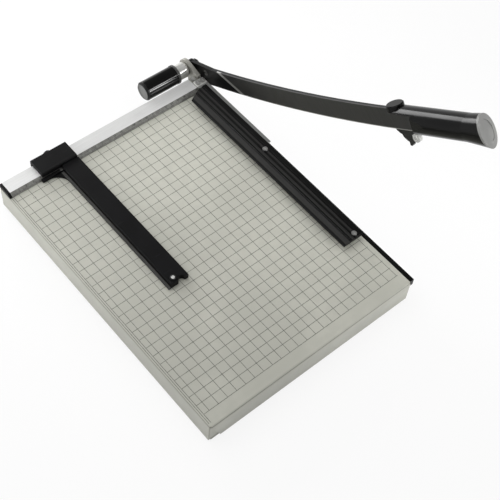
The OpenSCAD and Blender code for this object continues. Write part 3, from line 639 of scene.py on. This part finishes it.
@dataclass(frozen=True)
class BlackPaint(Finish):
    """Semi-gloss black lacquer on steel, with a little wear.

    Attributes:
        worn: Colour of the worn specks.
        peel: Depth of the orange peel, metres.
    """

    worn: Colour = (0.12, 0.12, 0.12)
    peel: float = 0.00004

    def surface(self, board: Board) -> dict[str, Value]:
        """Lacquer with orange peel and specks.

        Args:
            board: The material's nodes.

        Returns:
            The shader's links.
        """
        place = board.place()
        clouds = board.noise(place, 40.0, 3.0)
        peel = board.noise(place, 500.0, 1.5)
        speck = board.noise(place, 700.0, 4.0, 0.7)
        base = board.mix(clouds.step(0.3, 0.7), self.tint(0.8), self.tint(1.2))
        base = board.mix(speck.step(0.68, 0.74) * 0.5, base, self.worn)
        rough = self.roughness + (clouds - 0.5) * 0.2
        return {"Base Color": base, "Roughness": rough, "Normal": board.bump(peel, self.peel, 0.5)}


@dataclass(frozen=True, kw_only=True)
class LatchPaint(BlackPaint):
    """Lacquer that fingers have worn to bright metal round an eye.

    Attributes:
        eye: The eye's Y and Z, metres.
        reach: Radius of the worn ring, metres.
        bright: Colour of the bare metal.
        soft: Half the width of the ring's soft side, metres.
        ragged: How far the ring's side wanders, metres.
    """

    eye: Pair
    reach: float
    bright: Colour
    soft: float = 0.0003
    ragged: float = 0.002

    def surface(self, board: Board) -> dict[str, Value]:
        """Lacquer with the worn eye.

        Args:
            board: The material's nodes.

        Returns:
            The shader's links.
        """
        made = super().surface(board)
        nick = board.noise(board.place(), 600.0, 4.0)
        out = board.distance(Axis.X, self.eye) + (nick - 0.5) * self.ragged
        worn = out.step(self.reach + self.soft, self.reach - self.soft)
        board.cover(made, worn, self.bright)
        return made


@dataclass(frozen=True)
class Rubber(Finish):
    """Dull moulded rubber with dust in its grain."""

    def surface(self, board: Board) -> dict[str, Value]:
        """Dusty rubber.

        Args:
            board: The material's nodes.

        Returns:
            The shader's links.
        """
        place = board.place()
        grain = board.noise(place, 1300.0, 3.0)
        dust = board.noise(place, 130.0, 4.0)
        base = board.mix(dust.step(0.5, 0.75) * 0.5, self.colour, self.tint(2.5))
        rough = self.roughness + (grain - 0.5) * 0.2
        return {"Base Color": base, "Roughness": rough, "Normal": board.bump(grain, 0.00008, 0.8)}


@dataclass(frozen=True)
class PrintInk(Finish):
    """Thin screen-printed ink, a little uneven."""

    def surface(self, board: Board) -> dict[str, Value]:
        """Uneven ink.

        Args:
            board: The material's nodes.

        Returns:
            The shader's links.
        """
        cover = board.noise(board.place(), 350.0, 4.0)
        base = board.mix(cover.step(0.35, 0.65), self.tint(0.75), self.tint(1.35))
        return {"Base Color": base, "Roughness": self.roughness + (cover - 0.5) * 0.2}


def linked(name: str, data: ID) -> Object:
    """Adds an object to the scene.

    Args:
        name: The object's name.
        data: Its mesh, text, lamp or camera.

    Returns:
        The object.
    """
    made = bpy.data.objects.new(name, data)
    bpy.context.scene.collection.objects.link(made)
    return made


def final_mesh(work: Object, name: str) -> Mesh:
    """The plain mesh that a text, or an object with modifiers, comes to.

    Args:
        work: The object, which is removed with its data.
        name: The mesh's name.

    Returns:
        The mesh.
    """
    graph = bpy.context.evaluated_depsgraph_get()
    mesh = bpy.data.meshes.new_from_object(work.evaluated_get(graph), depsgraph=graph)
    old = work.data
    bpy.data.objects.remove(work)
    bpy.data.batch_remove([old])
    mesh.name = name
    return mesh


def figures(name: str, words: Iterable[tuple[str, Vector]], height: float, turn: Matrix) -> Object:
    """Plain printed figures as one flat mesh.

    Args:
        name: The piece's name.
        words: Each figure and its middle, metres.
        height: The figures' height, mm.
        turn: Turn from flat on the table.

    Returns:
        The mesh object at the origin.
    """
    size_for_height = 1.4
    half_ink = 0.01 * MM
    work = bmesh.new()
    for word, middle in words:
        curve = bpy.data.curves.new("figure", "FONT")
        curve.body = word
        curve.align_x = curve.align_y = "CENTER"
        curve.size = height * MM * size_for_height
        curve.resolution_u = 2
        curve.extrude = half_ink
        flat = final_mesh(linked("figure", curve), "figure")
        flat.transform(Matrix.Translation(middle) @ turn.to_4x4())
        work.from_mesh(flat)
        bpy.data.meshes.remove(flat)
    mesh = bpy.data.meshes.new(name)
    work.to_mesh(mesh)
    work.free()
    return linked(name, mesh)


@dataclass
class Frame:
    """The loaded frame and the ways that pieces join it.

    Attributes:
        nodes: The frame's nodes by name.
        origin: The table frame's origin, metres.
        merge: Points of a node that are closer than this are one, mm.
        flat: Faces that turn less than this are one, degrees.
        sharp: Edges that turn more than this are rounded, degrees.
        weld: Points of a rounded piece that are closer than this are one, mm.
    """

    nodes: dict[str, Object]
    origin: Vector
    merge: float = 0.001
    flat: float = 0.4
    sharp: float = 28.0
    weld: float = 0.002

    @classmethod
    def load(cls) -> Frame:
        """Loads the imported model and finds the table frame.

        Returns:
            The frame.
        """
        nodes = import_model()["nodes"]
        low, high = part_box("base_tray")
        return cls(nodes, Vector((low.x, low.y, high.z)))

    def along(self, axis: Axis, *spots: float) -> tuple[float, ...]:
        """Places on one axis of the table, given in mm, in metres."""
        return tuple(self.origin[axis] + spot * MM for spot in spots)

    def at(self, x: float, y: float, z: float) -> Vector:
        """A point of the table, given in mm, in metres."""
        return self.origin + Vector((x, y, z)) * MM

    def dress(self, finish: Finish, *names: str) -> None:
        """Gives nodes a finish.

        Args:
            finish: The finish.
            names: The nodes.
        """
        material = finish.material()
        for name in names:
            mesh = self.nodes[name].data
            mesh.materials.clear()
            mesh.materials.append(material)
            LOG.info("node %s: %s", name, finish.name)

    def soften(self, name: str, body: Body, slot: Slot, finish: Finish, width: float) -> None:
        """Makes a copy of a node with rounded edges, which stands for the node.

        Args:
            name: The node.
            body: The body that it moves with.
            slot: Its material slot.
            finish: Its finish.
            width: Width of the rounded edges, mm.
        """
        mesh = self.nodes[name].data.copy()
        work = bmesh.new()
        work.from_mesh(mesh)
        bmesh.ops.remove_doubles(work, verts=work.verts, dist=self.merge * MM)
        flat = math.radians(self.flat)
        bmesh.ops.dissolve_limit(work, angle_limit=flat, verts=work.verts, edges=work.edges)
        for face in work.faces:
            face.smooth = True
        work.to_mesh(mesh)
        work.free()
        piece = linked(f"{name}_edges", mesh)
        bevel = piece.modifiers.new("Edges", "BEVEL")
        bevel.width = width * MM
        bevel.segments = 2
        bevel.limit_method = "ANGLE"
        bevel.angle_limit = math.radians(self.sharp)
        bevel.harden_normals = True
        piece.modifiers.new("Doubles", "WELD").merge_threshold = self.weld * MM
        piece.modifiers.new("Faces", "WEIGHTED_NORMAL").keep_sharp = True
        mesh = final_mesh(piece, f"{name}_piece")
        self.place(linked(mesh.name, mesh), body, slot, finish, name)

    def place(self, piece: Object, body: Body, slot: Slot, finish: Finish, *stands_for: str) -> None:
        """Gives a piece its finish and body.

        Args:
            piece: The piece.
            body: The body that it moves with.
            slot: Its material slot; not used.
            finish: Its finish.
            stands_for: The nodes that it stands for.
        """
        piece.data.materials.clear()
        piece.data.materials.append(finish.material())
        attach(piece, body.value)
        if stands_for:
            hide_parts(*stands_for)
        LOG.info("piece %s: %s, %d faces", piece.name, finish.name, len(piece.data.polygons))


class Pattern:
    """A Geometry Nodes tree with named inputs that ends in one material."""

    def __init__(self, name: str, finish: Finish) -> None:
        """Starts an empty tree.

        Args:
            name: The name of the tree and of its piece.
            finish: The finish of what it makes.
        """
        self.name = name
        self.finish = finish
        self.tree = bpy.data.node_groups.new(name, "GeometryNodeTree")
        self.board = Board(self.tree)
        self.tree.interface.new_socket("Geometry", in_out="OUTPUT", socket_type="NodeSocketGeometry")
        self.entry = self.board.node("NodeGroupInput")
        self.sizes: dict[str, Any] = {}
        self.parts: list[Node] = []

    def size(self, name: str, value: Any) -> Value:
        """Adds a named input.

        Args:
            name: The input's name.
            value: What it is set to: a number, a whole number or a vector.

        Returns:
            The input.
        """
        kinds = {int: "NodeSocketInt", float: "NodeSocketFloat", tuple: "NodeSocketVector"}
        socket = self.tree.interface.new_socket(name, in_out="INPUT", socket_type=kinds[type(value)])
        self.sizes[socket.identifier] = value
        return Value(self.board, self.entry.outputs[name])

    def row(self, name: str, count: int, start: Point, step: Point) -> Node:
        """Points in a row.

        Args:
            name: What stands on the points.
            count: How many.
            start: The first point, metres.
            step: From one point to the next, metres.

        Returns:
            The points.
        """
        sockets = {
            "Count": self.size(f"{name} count", count),
            "Start Location": self.size(f"{name} start", start),
            "Offset": self.size(f"{name} step", step),
        }
        return self.board.node("GeometryNodeMeshLine", sockets, mode="OFFSET")

    def bar(self, name: str, size: Point) -> Node:
        """A printed bar with a named size, metres."""
        return self.board.node("GeometryNodeMeshCube", {"Size": self.size(f"{name} size", size)})

    def repeat(self, points: Node, shape: Node, **sockets: Any) -> None:
        """Sets a shape on each point; sockets give each copy's Rotation or Scale."""
        feeds = {"Points": points, "Instance": shape, **sockets}
        self.parts.append(self.board.node("GeometryNodeInstanceOnPoints", feeds))

    def make(self) -> Object:
        """Closes the tree and makes its mesh.

        Returns:
            The piece, a plain mesh with the tree's name.
        """
        join = self.board.node("GeometryNodeJoinGeometry")
        for part in self.parts:
            self.board.feed(join.inputs[0], part)
        real = self.board.node("GeometryNodeRealizeInstances", {0: join})
        sockets = {0: real, "Material": self.finish.material()}
        dressed = self.board.node("GeometryNodeSetMaterial", sockets)
        self.board.node("NodeGroupOutput", {0: dressed})
        work = linked(f"{self.name}_work", bpy.data.meshes.new(f"{self.name}_work"))
        modifier = work.modifiers.new(self.name, "NODES")
        modifier.node_group = self.tree
        for identifier, value in self.sizes.items():
            modifier[identifier] = value
        return linked(self.name, final_mesh(work, self.name))


@dataclass
class Finishes:
    """All finishes, placed on this frame.

    Attributes:
        frame: The frame.
        pivot: The pivot's Y and Z, mm.
        arm_angle: The arm's angle at rest, degrees.
    """

    frame: Frame
    pivot: Pair = (422.4, 5.0)
    arm_angle: float = 32.0

    def __post_init__(self) -> None:
        """Makes the finishes."""
        frame = self.frame
        pivot = tuple(frame.at(0.0, *self.pivot).yz)
        low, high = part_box("gauge_end_screw")
        middle = (low + high) / 2
        # Bands of painted sheen where the guard's ridges catch the light.
        rubbed = ((269.6, 276.6), (280.0, 283.5), (286.2, 289.8))
        origin = tuple(frame.origin)
        self.table = TablePaint("table_enamel", srgb(181, 181, 171), 0.42, 0.0, 0.4, origin=origin)
        self.rubber = Rubber("foot_rubber", srgb(28, 28, 28), 0.8, 0.0, 0.3)
        self.screw = BrushedMetal("zinc_screw", srgb(186, 186, 184), 0.32, 1.0)
        self.rule = RuleMetal(
            "rule_metal", srgb(214, 214, 213), 0.42, 0.4, 0.4, contrast=0.06, relief=0.000006,
            band=frame.along(Axis.Y, 381.0, 386.7), floor=frame.along(Axis.Z, -1.0)[0],
            # The bevel band: printed ink darkened further by painted shade.
            band_colour=srgb(114, 114, 110),
        )
        self.plastic = MouldedPlastic("black_abs", srgb(13, 13, 14), 0.5, 0.0, 0.1, rub=0.7)
        self.guard = BandedPlastic(
            "guard_abs", srgb(11, 11, 11), 0.42, 0.0, 0.12, rub=0.3,
            bands=tuple(frame.along(Axis.X, *band) for band in rubbed), band_colour=srgb(54, 54, 53),
        )
        # A band of painted highlight along the gauge arm's left edge, where it catches the light.
        self.gauge = BandedPlastic(
            "gauge_abs", srgb(13, 13, 14), 0.5, 0.0, 0.1, rub=0.7,
            bands=(frame.along(Axis.X, 70.6, 74.2),), band_colour=srgb(84, 84, 82),
        )
        self.black = BlackPaint("black_lacquer", srgb(12, 12, 12), 0.36, 0.0, 0.12)
        self.tube = BlackPaint("tube_lacquer", srgb(6, 6, 6), 0.14, 0.0, 0.28, peel=0.000004)
        self.latch = LatchPaint(
            "latch_lacquer", srgb(40, 40, 40), 0.4, 0.0, 0.2,
            eye=tuple(frame.at(0.0, 55.56, 195.96).yz), reach=5.3 * MM, bright=srgb(205, 205, 202),
        )
        # The carrier's bright rear end is a painted highlight.
        self.carrier = EndedMetal(
            "carrier_plate", srgb(140, 141, 139), 0.45, 0.7, along=Axis.Y,
            start=frame.along(Axis.Y, 386.0)[0], bright=srgb(214, 214, 210),
        )
        self.plated = BrushedMetal("zinc_plate", srgb(190, 191, 189), 0.42, 0.6, along=Axis.Y)
        self.bracket = BrushedMetal("bracket_plate", srgb(160, 159, 152), 0.45, 0.6, along=Axis.Y)
        self.nickel = BrushedMetal("polished_nickel", srgb(226, 226, 222), 0.22, 0.65, contrast=0.05)
        self.bronze = BrushedMetal("bearing_bronze", srgb(178, 140, 84), 0.35, 1.0)
        self.oxide = BrushedMetal("oxide_screw", srgb(92, 92, 91), 0.4, 0.7, 0.4)
        self.blade = BladeMetal(
            "ground_blade", srgb(70, 70, 70), 0.4, 0.9, along=Axis.Y, contrast=0.16, turn=-self.arm_angle,
            pivot=pivot, middle=0.2112, centre=2.4482, radius=2.4765, bright=srgb(190, 190, 188),
            honed=0.8 * MM, root=60.0 * MM, slope=41 / 24, root_width=4.2 * MM,
        )
        self.grip = MouldedPlastic(
            "grip_gloss", srgb(10, 10, 10), 0.2, 0.0, 0.12, grain=2200.0, relief=0.000002, rub=0.12
        )
        # Painted glint: the end screw's bright core is kept small by a dark rim, to stand for a glint.
        self.end_screw = RimmedDisc(
            "end_screw_zinc", srgb(196, 196, 194), 0.35, 0.5, relief=0.00001, rub=0.1,
            centre=(middle.x, middle.y), radius=(high.x - low.x) / 2, axis=Axis.Z, rim=0.62,
            rim_colour=srgb(46, 46, 46),
        )
        self.housing_cap = RimmedDisc(
            "housing_cap_grey", srgb(122, 122, 121), 0.4, 0.0, 0.3, grain=1700.0, relief=0.00003, rub=0.2,
            centre=pivot, radius=12.8 * MM,
        )
        self.cap = MouldedPlastic(
            "cap_grey", srgb(140, 140, 138), 0.45, 0.0, 0.4, grain=1700.0, relief=0.000004, rub=0.2
        )
        self.nylon = MouldedPlastic(
            "glide_nylon", srgb(214, 212, 204), 0.45, 0.0, 0.4, grain=1200.0, relief=0.00002, rub=0.05
        )
        self.ink = PrintInk("grid_ink", srgb(114, 115, 109), 0.55, 0.0, 0.2)
        self.rule_ink = PrintInk("rule_ink", srgb(30, 30, 30), 0.5, 0.0, 0.2)


@dataclass
class Assembly:
    """A sub-assembly of the trimmer.

    Attributes:
        frame: The frame.
        looks: The finishes.
        edge: Width of its rounded edges, mm.
    """

    frame: Frame
    looks: Finishes
    edge: float = 0.35

    def build(self) -> None:
        """Dresses the sub-assembly's nodes and adds its pieces."""
        raise NotImplementedError


@dataclass
class Table(Assembly):
    """The folded table with its feet and printed grid.

    Attributes:
        pitch: Side of a grid square, mm.
        columns: Lines that run front to rear.
        rows: Lines that run left to right.
        first_row: Place of the front line, mm.
        line_w: Width of a printed line, mm.
        ink_h: Thickness of the ink, mm.
        left: Start of the cross lines, mm.
        right: End of the cross lines, mm.
        rear: End of the long lines and the border lines, mm.
        border_x: Places of the two border lines on the left, mm.
        border_y: Start of the border lines, mm.
        figure_h: Height of the printed figures, mm.
        figure_y: Place of the figures, mm.
        first_x: Place of the figure nearest to the cut, mm.
        inches: The figures, inches from the cut.
    """

    pitch: float = INCH / 2
    columns: int = 23
    rows: int = 29
    first_row: float = 18.0
    line_w: float = 0.7
    ink_h: float = 0.03
    left: float = 5.0
    right: float = 294.0
    rear: float = 381.8
    border_x: Pair = (2.8, 5.2)
    border_y: float = 6.0
    figure_h: float = 3.4
    figure_y: float = 366.0
    first_x: float = 228.0
    inches: tuple[int, ...] = (3, 5, 7, 9, 11)

    def build(self) -> None:
        """Dresses the table and prints its grid."""
        frame, looks = self.frame, self.looks
        frame.dress(looks.table, "base_tray")
        frame.dress(looks.rubber, "rubber_feet")
        frame.dress(looks.screw, "foot_screws")
        frame.place(self.grid(), Body.BASE, Slot.TABLE_PAINT, looks.ink)
        frame.place(self.numbers(), Body.BASE, Slot.TABLE_PAINT, looks.ink)

    def grid(self) -> Object:
        """The printed grid.

        Returns:
            The grid's mesh.
        """
        pattern = Pattern("grid_print", self.looks.ink)
        depth = self.rear - self.first_row
        width = self.right - self.left
        margin = self.rear - self.border_y
        gap = self.border_x[1] - self.border_x[0]
        long_at = (self.pitch, self.first_row + depth / 2)
        cross_at = (self.left + width / 2, self.first_row)
        border_at = (self.border_x[0], self.border_y + margin / 2)
        rows = (
            ("Long lines", self.columns, long_at, (self.pitch, 0.0), (self.line_w, depth)),
            ("Cross lines", self.rows, cross_at, (0.0, self.pitch), (width, self.line_w)),
            ("Border lines", len(self.border_x), border_at, (gap, 0.0), (self.line_w, margin)),
        )
        for name, count, (x, y), (step_x, step_y), (line_w, line_l) in rows:
            start = tuple(self.frame.at(x, y, self.ink_h / 2))
            points = pattern.row(name, count, start, (step_x * MM, step_y * MM, 0.0))
            pattern.repeat(points, pattern.bar(name, (line_w * MM, line_l * MM, self.ink_h * MM)))
        return pattern.make()

    def numbers(self) -> Object:
        """The printed inch figures behind the grid, counted from the cutting line.

        Returns:
            The figures' mesh.
        """
        words = []
        for inch in self.inches:
            x = self.first_x - (inch - self.inches[0]) * INCH
            words.append((str(inch), self.frame.at(x, self.figure_y, self.ink_h)))
        return figures("grid_figures", words, self.figure_h, Matrix.Identity(3))


@dataclass
class Rule(Assembly):
    """The rule along the rear, with its centimetre scale.

    Attributes:
        front: The bevel's front edge, mm.
        lip: The bevel's front height, mm.
        bevel_w: The bevel's width, mm.
        bevel_rise: The bevel's rise, mm.
        zero: Place of the scale's zero, mm.
        count: Millimetre marks.
        mark_w: Width of a mark, mm.
        mark_up: Start of the marks up the bevel, mm.
        ink_h: Thickness of the ink, mm.
        lengths: Lengths of the short, middle and long marks, mm.
        figure_h: Height of the figures, mm.
        figure_up: Middle of the figures up the bevel, mm.
    """

    front: float = 382.0
    lip: float = 1.6
    bevel_w: float = 4.8
    bevel_rise: float = 3.4
    zero: float = 5.5
    count: int = 280
    mark_w: float = 0.22
    mark_up: float = 0.3
    ink_h: float = 0.03
    lengths: tuple[float, float, float] = (1.1, 1.6, 2.2)
    figure_h: float = 2.5
    figure_up: float = 4.1

    @property
    def slope(self) -> float:
        """The bevel's angle, radians."""
        return math.atan2(self.bevel_rise, self.bevel_w)

    def on_bevel(self, x: float, up: float) -> Vector:
        """The point, in metres, right of the left wall and up the bevel by so many mm."""
        y = self.front + up * math.cos(self.slope)
        return self.frame.at(x, y, self.lip + up * math.sin(self.slope))

    def build(self) -> None:
        """Dresses the rule and prints its scale."""
        frame, looks = self.frame, self.looks
        frame.dress(looks.screw, "rule_screws")
        frame.dress(looks.plastic, "rule_end_cap")
        frame.dress(looks.rule, "rear_rule")
        frame.place(self.marks(), Body.BASE, Slot.RULE_ALUMINIUM, looks.rule_ink)
        frame.place(self.numbers(), Body.BASE, Slot.RULE_ALUMINIUM, looks.rule_ink)

    def marks(self) -> Object:
        """The scale's marks.

        Returns:
            The marks' mesh.
        """
        pattern = Pattern("scale_marks", self.looks.rule_ink)
        board = pattern.board
        first = tuple(self.on_bevel(self.zero, self.mark_up))
        points = pattern.row("Marks", self.count + 1, first, (MM, 0.0, 0.0))
        short, middle, long = (
            pattern.size(name, length * MM)
            for name, length in zip(("Short", "Middle", "Long"), self.lengths)
        )
        index = board.take(board.node("GeometryNodeInputIndex"))
        fifth = index.math("MODULO", CM / 2).math("LESS_THAN", 0.5)
        tenth = index.math("MODULO", CM).math("LESS_THAN", 0.5)
        length = short + fifth * (middle - short) + tenth * (long - middle)
        mark = pattern.bar("Mark", (self.mark_w * MM, 1.0, self.ink_h * MM))
        sockets = {"Geometry": mark, "Translation": (0.0, 0.5, self.ink_h / 2 * MM)}
        moved = board.node("GeometryNodeTransform", sockets)
        pattern.repeat(
            points,
            moved,
            Rotation=pattern.size("Bevel turn", (self.slope, 0.0, 0.0)),
            Scale=board.vector(1.0, length, 1.0),
        )
        return pattern.make()

    def numbers(self) -> Object:
        """The scale's centimetre figures.

        Returns:
            The figures' mesh.
        """
        turn = Matrix.Rotation(self.slope, 3, "X")
        ink = turn @ Vector((0, 0, self.ink_h * MM))
        words = [
            (str(i), self.on_bevel(self.zero + CM * i, self.figure_up) + ink)
            for i in range(1, self.count // CM + 1)
        ]
        return figures("scale_figures", words, self.figure_h, turn)


@dataclass
class Pivot(Assembly):
    """The bracket, the spring housing and what turns in it."""

    def build(self) -> None:
        """Dresses the pivot."""
        frame, looks = self.frame, self.looks
        frame.soften("pivot_bracket", Body.BASE, Slot.PLATED_STEEL, looks.bracket, self.edge)
        frame.dress(looks.screw, "bracket_screws", "pivot_shaft", "shaft_nut")
        frame.dress(looks.screw, "spring_washers", "arm_washer")
        frame.dress(looks.nickel, "pivot_boss")
        frame.dress(looks.bronze, "pivot_bush")
        frame.soften("spring_housing", Body.BASE, Slot.BLACK_STEEL, looks.tube, self.edge)
        frame.dress(looks.black, "arm_nut")
        frame.dress(looks.housing_cap, "housing_end_cap")
        frame.dress(looks.oxide, "housing_collar")
        frame.dress(looks.plated, "pivot_spring")


@dataclass
class Cutter(Assembly):
    """The fixed lower blade, the guard and its carrier.

    Attributes:
        guard_edge: Width of the guard's rounded edges, mm.
    """

    edge: float = 0.3
    guard_edge: float = 0.2

    def build(self) -> None:
        """Dresses the fixed side of the cutter."""
        frame, looks = self.frame, self.looks
        frame.soften("lower_blade", Body.BASE, Slot.BLACK_STEEL, looks.black, self.edge)
        frame.soften("guard_carrier", Body.BASE, Slot.PLATED_STEEL, looks.carrier, self.edge)
        frame.soften("finger_guard", Body.BASE, Slot.BLACK_PLASTIC, looks.guard, self.guard_edge)
        frame.dress(looks.screw, "lower_blade_screws", "carrier_screws", "guard_screws", "latch_stud")


@dataclass
class Arm(Assembly):
    """The swinging arm with its blade, grip and latch."""

    edge: float = 0.2

    def build(self) -> None:
        """Dresses the arm."""
        frame, looks = self.frame, self.looks
        frame.dress(looks.black, "arm_bar")
        frame.dress(looks.blade, "upper_blade")
        frame.dress(looks.oxide, "blade_screws", "root_screw", "latch_pin")
        frame.dress(looks.screw, "grip_pins")
        frame.dress(looks.grip, "handle_grip")
        frame.dress(looks.cap, "grip_end_cap")
        frame.soften("latch_hook", Body.LATCH, Slot.BLACK_STEEL, looks.latch, self.edge)


@dataclass
class Gauge(Assembly):
    """The sliding back gauge with its thumbscrew."""

    def build(self) -> None:
        """Dresses the gauge."""
        frame, looks = self.frame, self.looks
        frame.soften("gauge_arm", Body.GAUGE, Slot.BLACK_PLASTIC, looks.gauge, self.edge)
        frame.soften("gauge_head", Body.GAUGE, Slot.BLACK_PLASTIC, looks.plastic, self.edge)
        frame.dress(looks.screw, "gauge_screws")
        frame.dress(looks.end_screw, "gauge_end_screw")
        frame.dress(looks.nylon, "glide_pad")
        frame.dress(looks.bronze, "clamp_pad")
        frame.dress(looks.plastic, "clamp_screw")


@dataclass(frozen=True)
class Lamp:
    """A soft lamp that the camera doesn't see.

    Attributes:
        name: The lamp's name.
        place: Where it hangs, metres.
        aim: The point that it faces, metres.
        power: Its power, watts.
        size: Its width and height, metres.
        spread: The angle that its light fills, degrees.
    """

    name: str
    place: Point
    aim: Point
    power: float
    size: Pair
    spread: float = 180.0

    def hang(self) -> None:
        """Adds the lamp to the scene."""
        light = bpy.data.lights.new(self.name, "AREA")
        light.spread = math.radians(self.spread)
        light.energy = self.power
        light.shape = "RECTANGLE"
        light.size, light.size_y = self.size
        lamp = linked(self.name, light)
        lamp.location = self.place
        lamp.visible_camera = False
        lamp.rotation_euler = (Vector(self.aim) - lamp.location).to_track_quat("-Z", "Y").to_euler()


@dataclass
class Studio:
    """The floor, the lights and the camera.

    Attributes:
        frame: The frame.
        camera_at: The camera's place in the table frame, mm.
        forward: Where it looks.
        right: Its right side.
        focal_px: Its focal length in pixels.
        frame_px: The picture's side in pixels.
        world: Strength of the light from all round.
        ceiling: How bright the surround looks overhead.
        horizon: How bright it looks near the floor.
        fade: Heights of a view where the surround starts and ends to darken.
        floor_paint: How light the floor's own paint is.
        floor_white: Share of plain white in what the floor shows.
        floor_half: Half the floor's side, metres.
        lamps: The lamps.
    """

    frame: Frame
    camera_at: Point = (-336.34, -369.92, 1046.26)
    forward: Point = (0.40428, 0.40735, -0.81892)
    right: Point = (0.76517, -0.64114, 0.05883)
    focal_px: float = 1090.0
    frame_px: float = 500.0
    world: float = 0.55
    ceiling: float = 0.25
    horizon: float = 0.93
    fade: Pair = (0.15, 0.45)
    floor_paint: float = 0.9
    floor_white: float = 0.86
    floor_half: float = 6.0
    lamps: tuple[Lamp, ...] = (
        Lamp("key_lamp", (-0.4, 0.75, 1.6), (0.0, 0.0, 0.05), 11.8, (1.6, 1.6)),
        Lamp("front_box", (0.75, -1.13, 0.62), (0.09, 0.22, 0.04), 0.62, (0.17, 0.75), 30.0),
        Lamp("side_box", (-1.2, 0.75, 0.4), (-0.162, 0.2, 0.015), 0.18, (0.3, 0.3), 28.0),
        Lamp("rear_strip", (0.11, 1.28, 0.42), (0.147, -0.15, 0.29), 8.5, (0.62, 0.36)),
    )

    def build(self) -> None:
        """Sets the stage."""
        self.floor()
        self.sky()
        for lamp in self.lamps:
            lamp.hang()
        self.camera()

    def floor(self) -> None:
        """A pale floor that shows white to the camera and keeps a soft shadow."""
        work = bmesh.new()
        bmesh.ops.create_grid(work, x_segments=2, y_segments=2, size=self.floor_half)
        mesh = bpy.data.meshes.new("floor")
        work.to_mesh(mesh)
        work.free()
        floor = linked("floor", mesh)
        material = bpy.data.materials.new("floor_white")
        material.use_nodes = True
        board = Board(material.node_tree)
        diffuse = board.node("ShaderNodeBsdfDiffuse", {"Color": shade(WHITE, self.floor_paint)})
        white = board.node("ShaderNodeEmission", {"Color": WHITE, "Strength": 1.0})
        shares = {0: self.seen(board) * self.floor_white, 1: diffuse, 2: white}
        mixed = board.node("ShaderNodeMixShader", shares)
        board.node("ShaderNodeOutputMaterial", {"Surface": mixed})
        mesh.materials.append(material)

    @staticmethod
    def seen(board: Board) -> Value:
        """Tells the rays that show the background: camera, glossy and transmission rays.

        Args:
            board: The nodes of the floor or of the surround.

        Returns:
            1 for those rays and 0 for the rest.
        """
        path = board.node("ShaderNodeLightPath")
        camera, glossy, clear = (
            board.take(path, f"Is {kind} Ray") for kind in ("Camera", "Glossy", "Transmission")
        )
        return camera.math("MAXIMUM", glossy).math("MAXIMUM", clear)

    def sky(self) -> None:
        """A white surround that looks bright near the floor and dim overhead, and lights evenly."""
        world = bpy.data.worlds.new("studio")
        bpy.context.scene.world = world
        world.use_nodes = True
        board = Board(world.node_tree)
        start, end = self.fade
        low = board.axes("Generated")[Axis.Z].step(end, start)
        shown = self.ceiling + low * (self.horizon - self.ceiling)
        strength = self.world + self.seen(board) * (shown - self.world)
        light = board.node("ShaderNodeBackground", {"Color": WHITE, "Strength": strength})
        board.node("ShaderNodeOutputWorld", {"Surface": light})

    def camera(self) -> None:
        """Sets the camera."""
        data = bpy.data.cameras.new("camera")
        data.sensor_width = 36.0
        data.lens = self.focal_px / self.frame_px * data.sensor_width
        data.clip_start, data.clip_end = 0.05, 50.0
        ahead = Vector(self.forward).normalized()
        right = Vector(self.right).normalized()
        up = right.cross(ahead)
        turn = Matrix((right, up, -ahead)).transposed()
        camera = linked("camera", data)
        camera.matrix_world = Matrix.Translation(self.frame.at(*self.camera_at)) @ turn.to_4x4()
        bpy.context.scene.camera = camera


def main() -> None:
    """Builds the trimmer's looks."""
    logging.basicConfig(level=logging.INFO, format="%(name)s: %(message)s")
    bpy.ops.wm.read_factory_settings(use_empty=True)
    frame = Frame.load()
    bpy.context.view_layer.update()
    bpy.context.scene.view_settings.view_transform = "Standard"
    looks = Finishes(frame)
    for assembly in (Table, Rule, Pivot, Cutter, Arm, Gauge):
        assembly(frame, looks).build()
    Studio(frame).build()


if __name__ == "__main__":
    main()
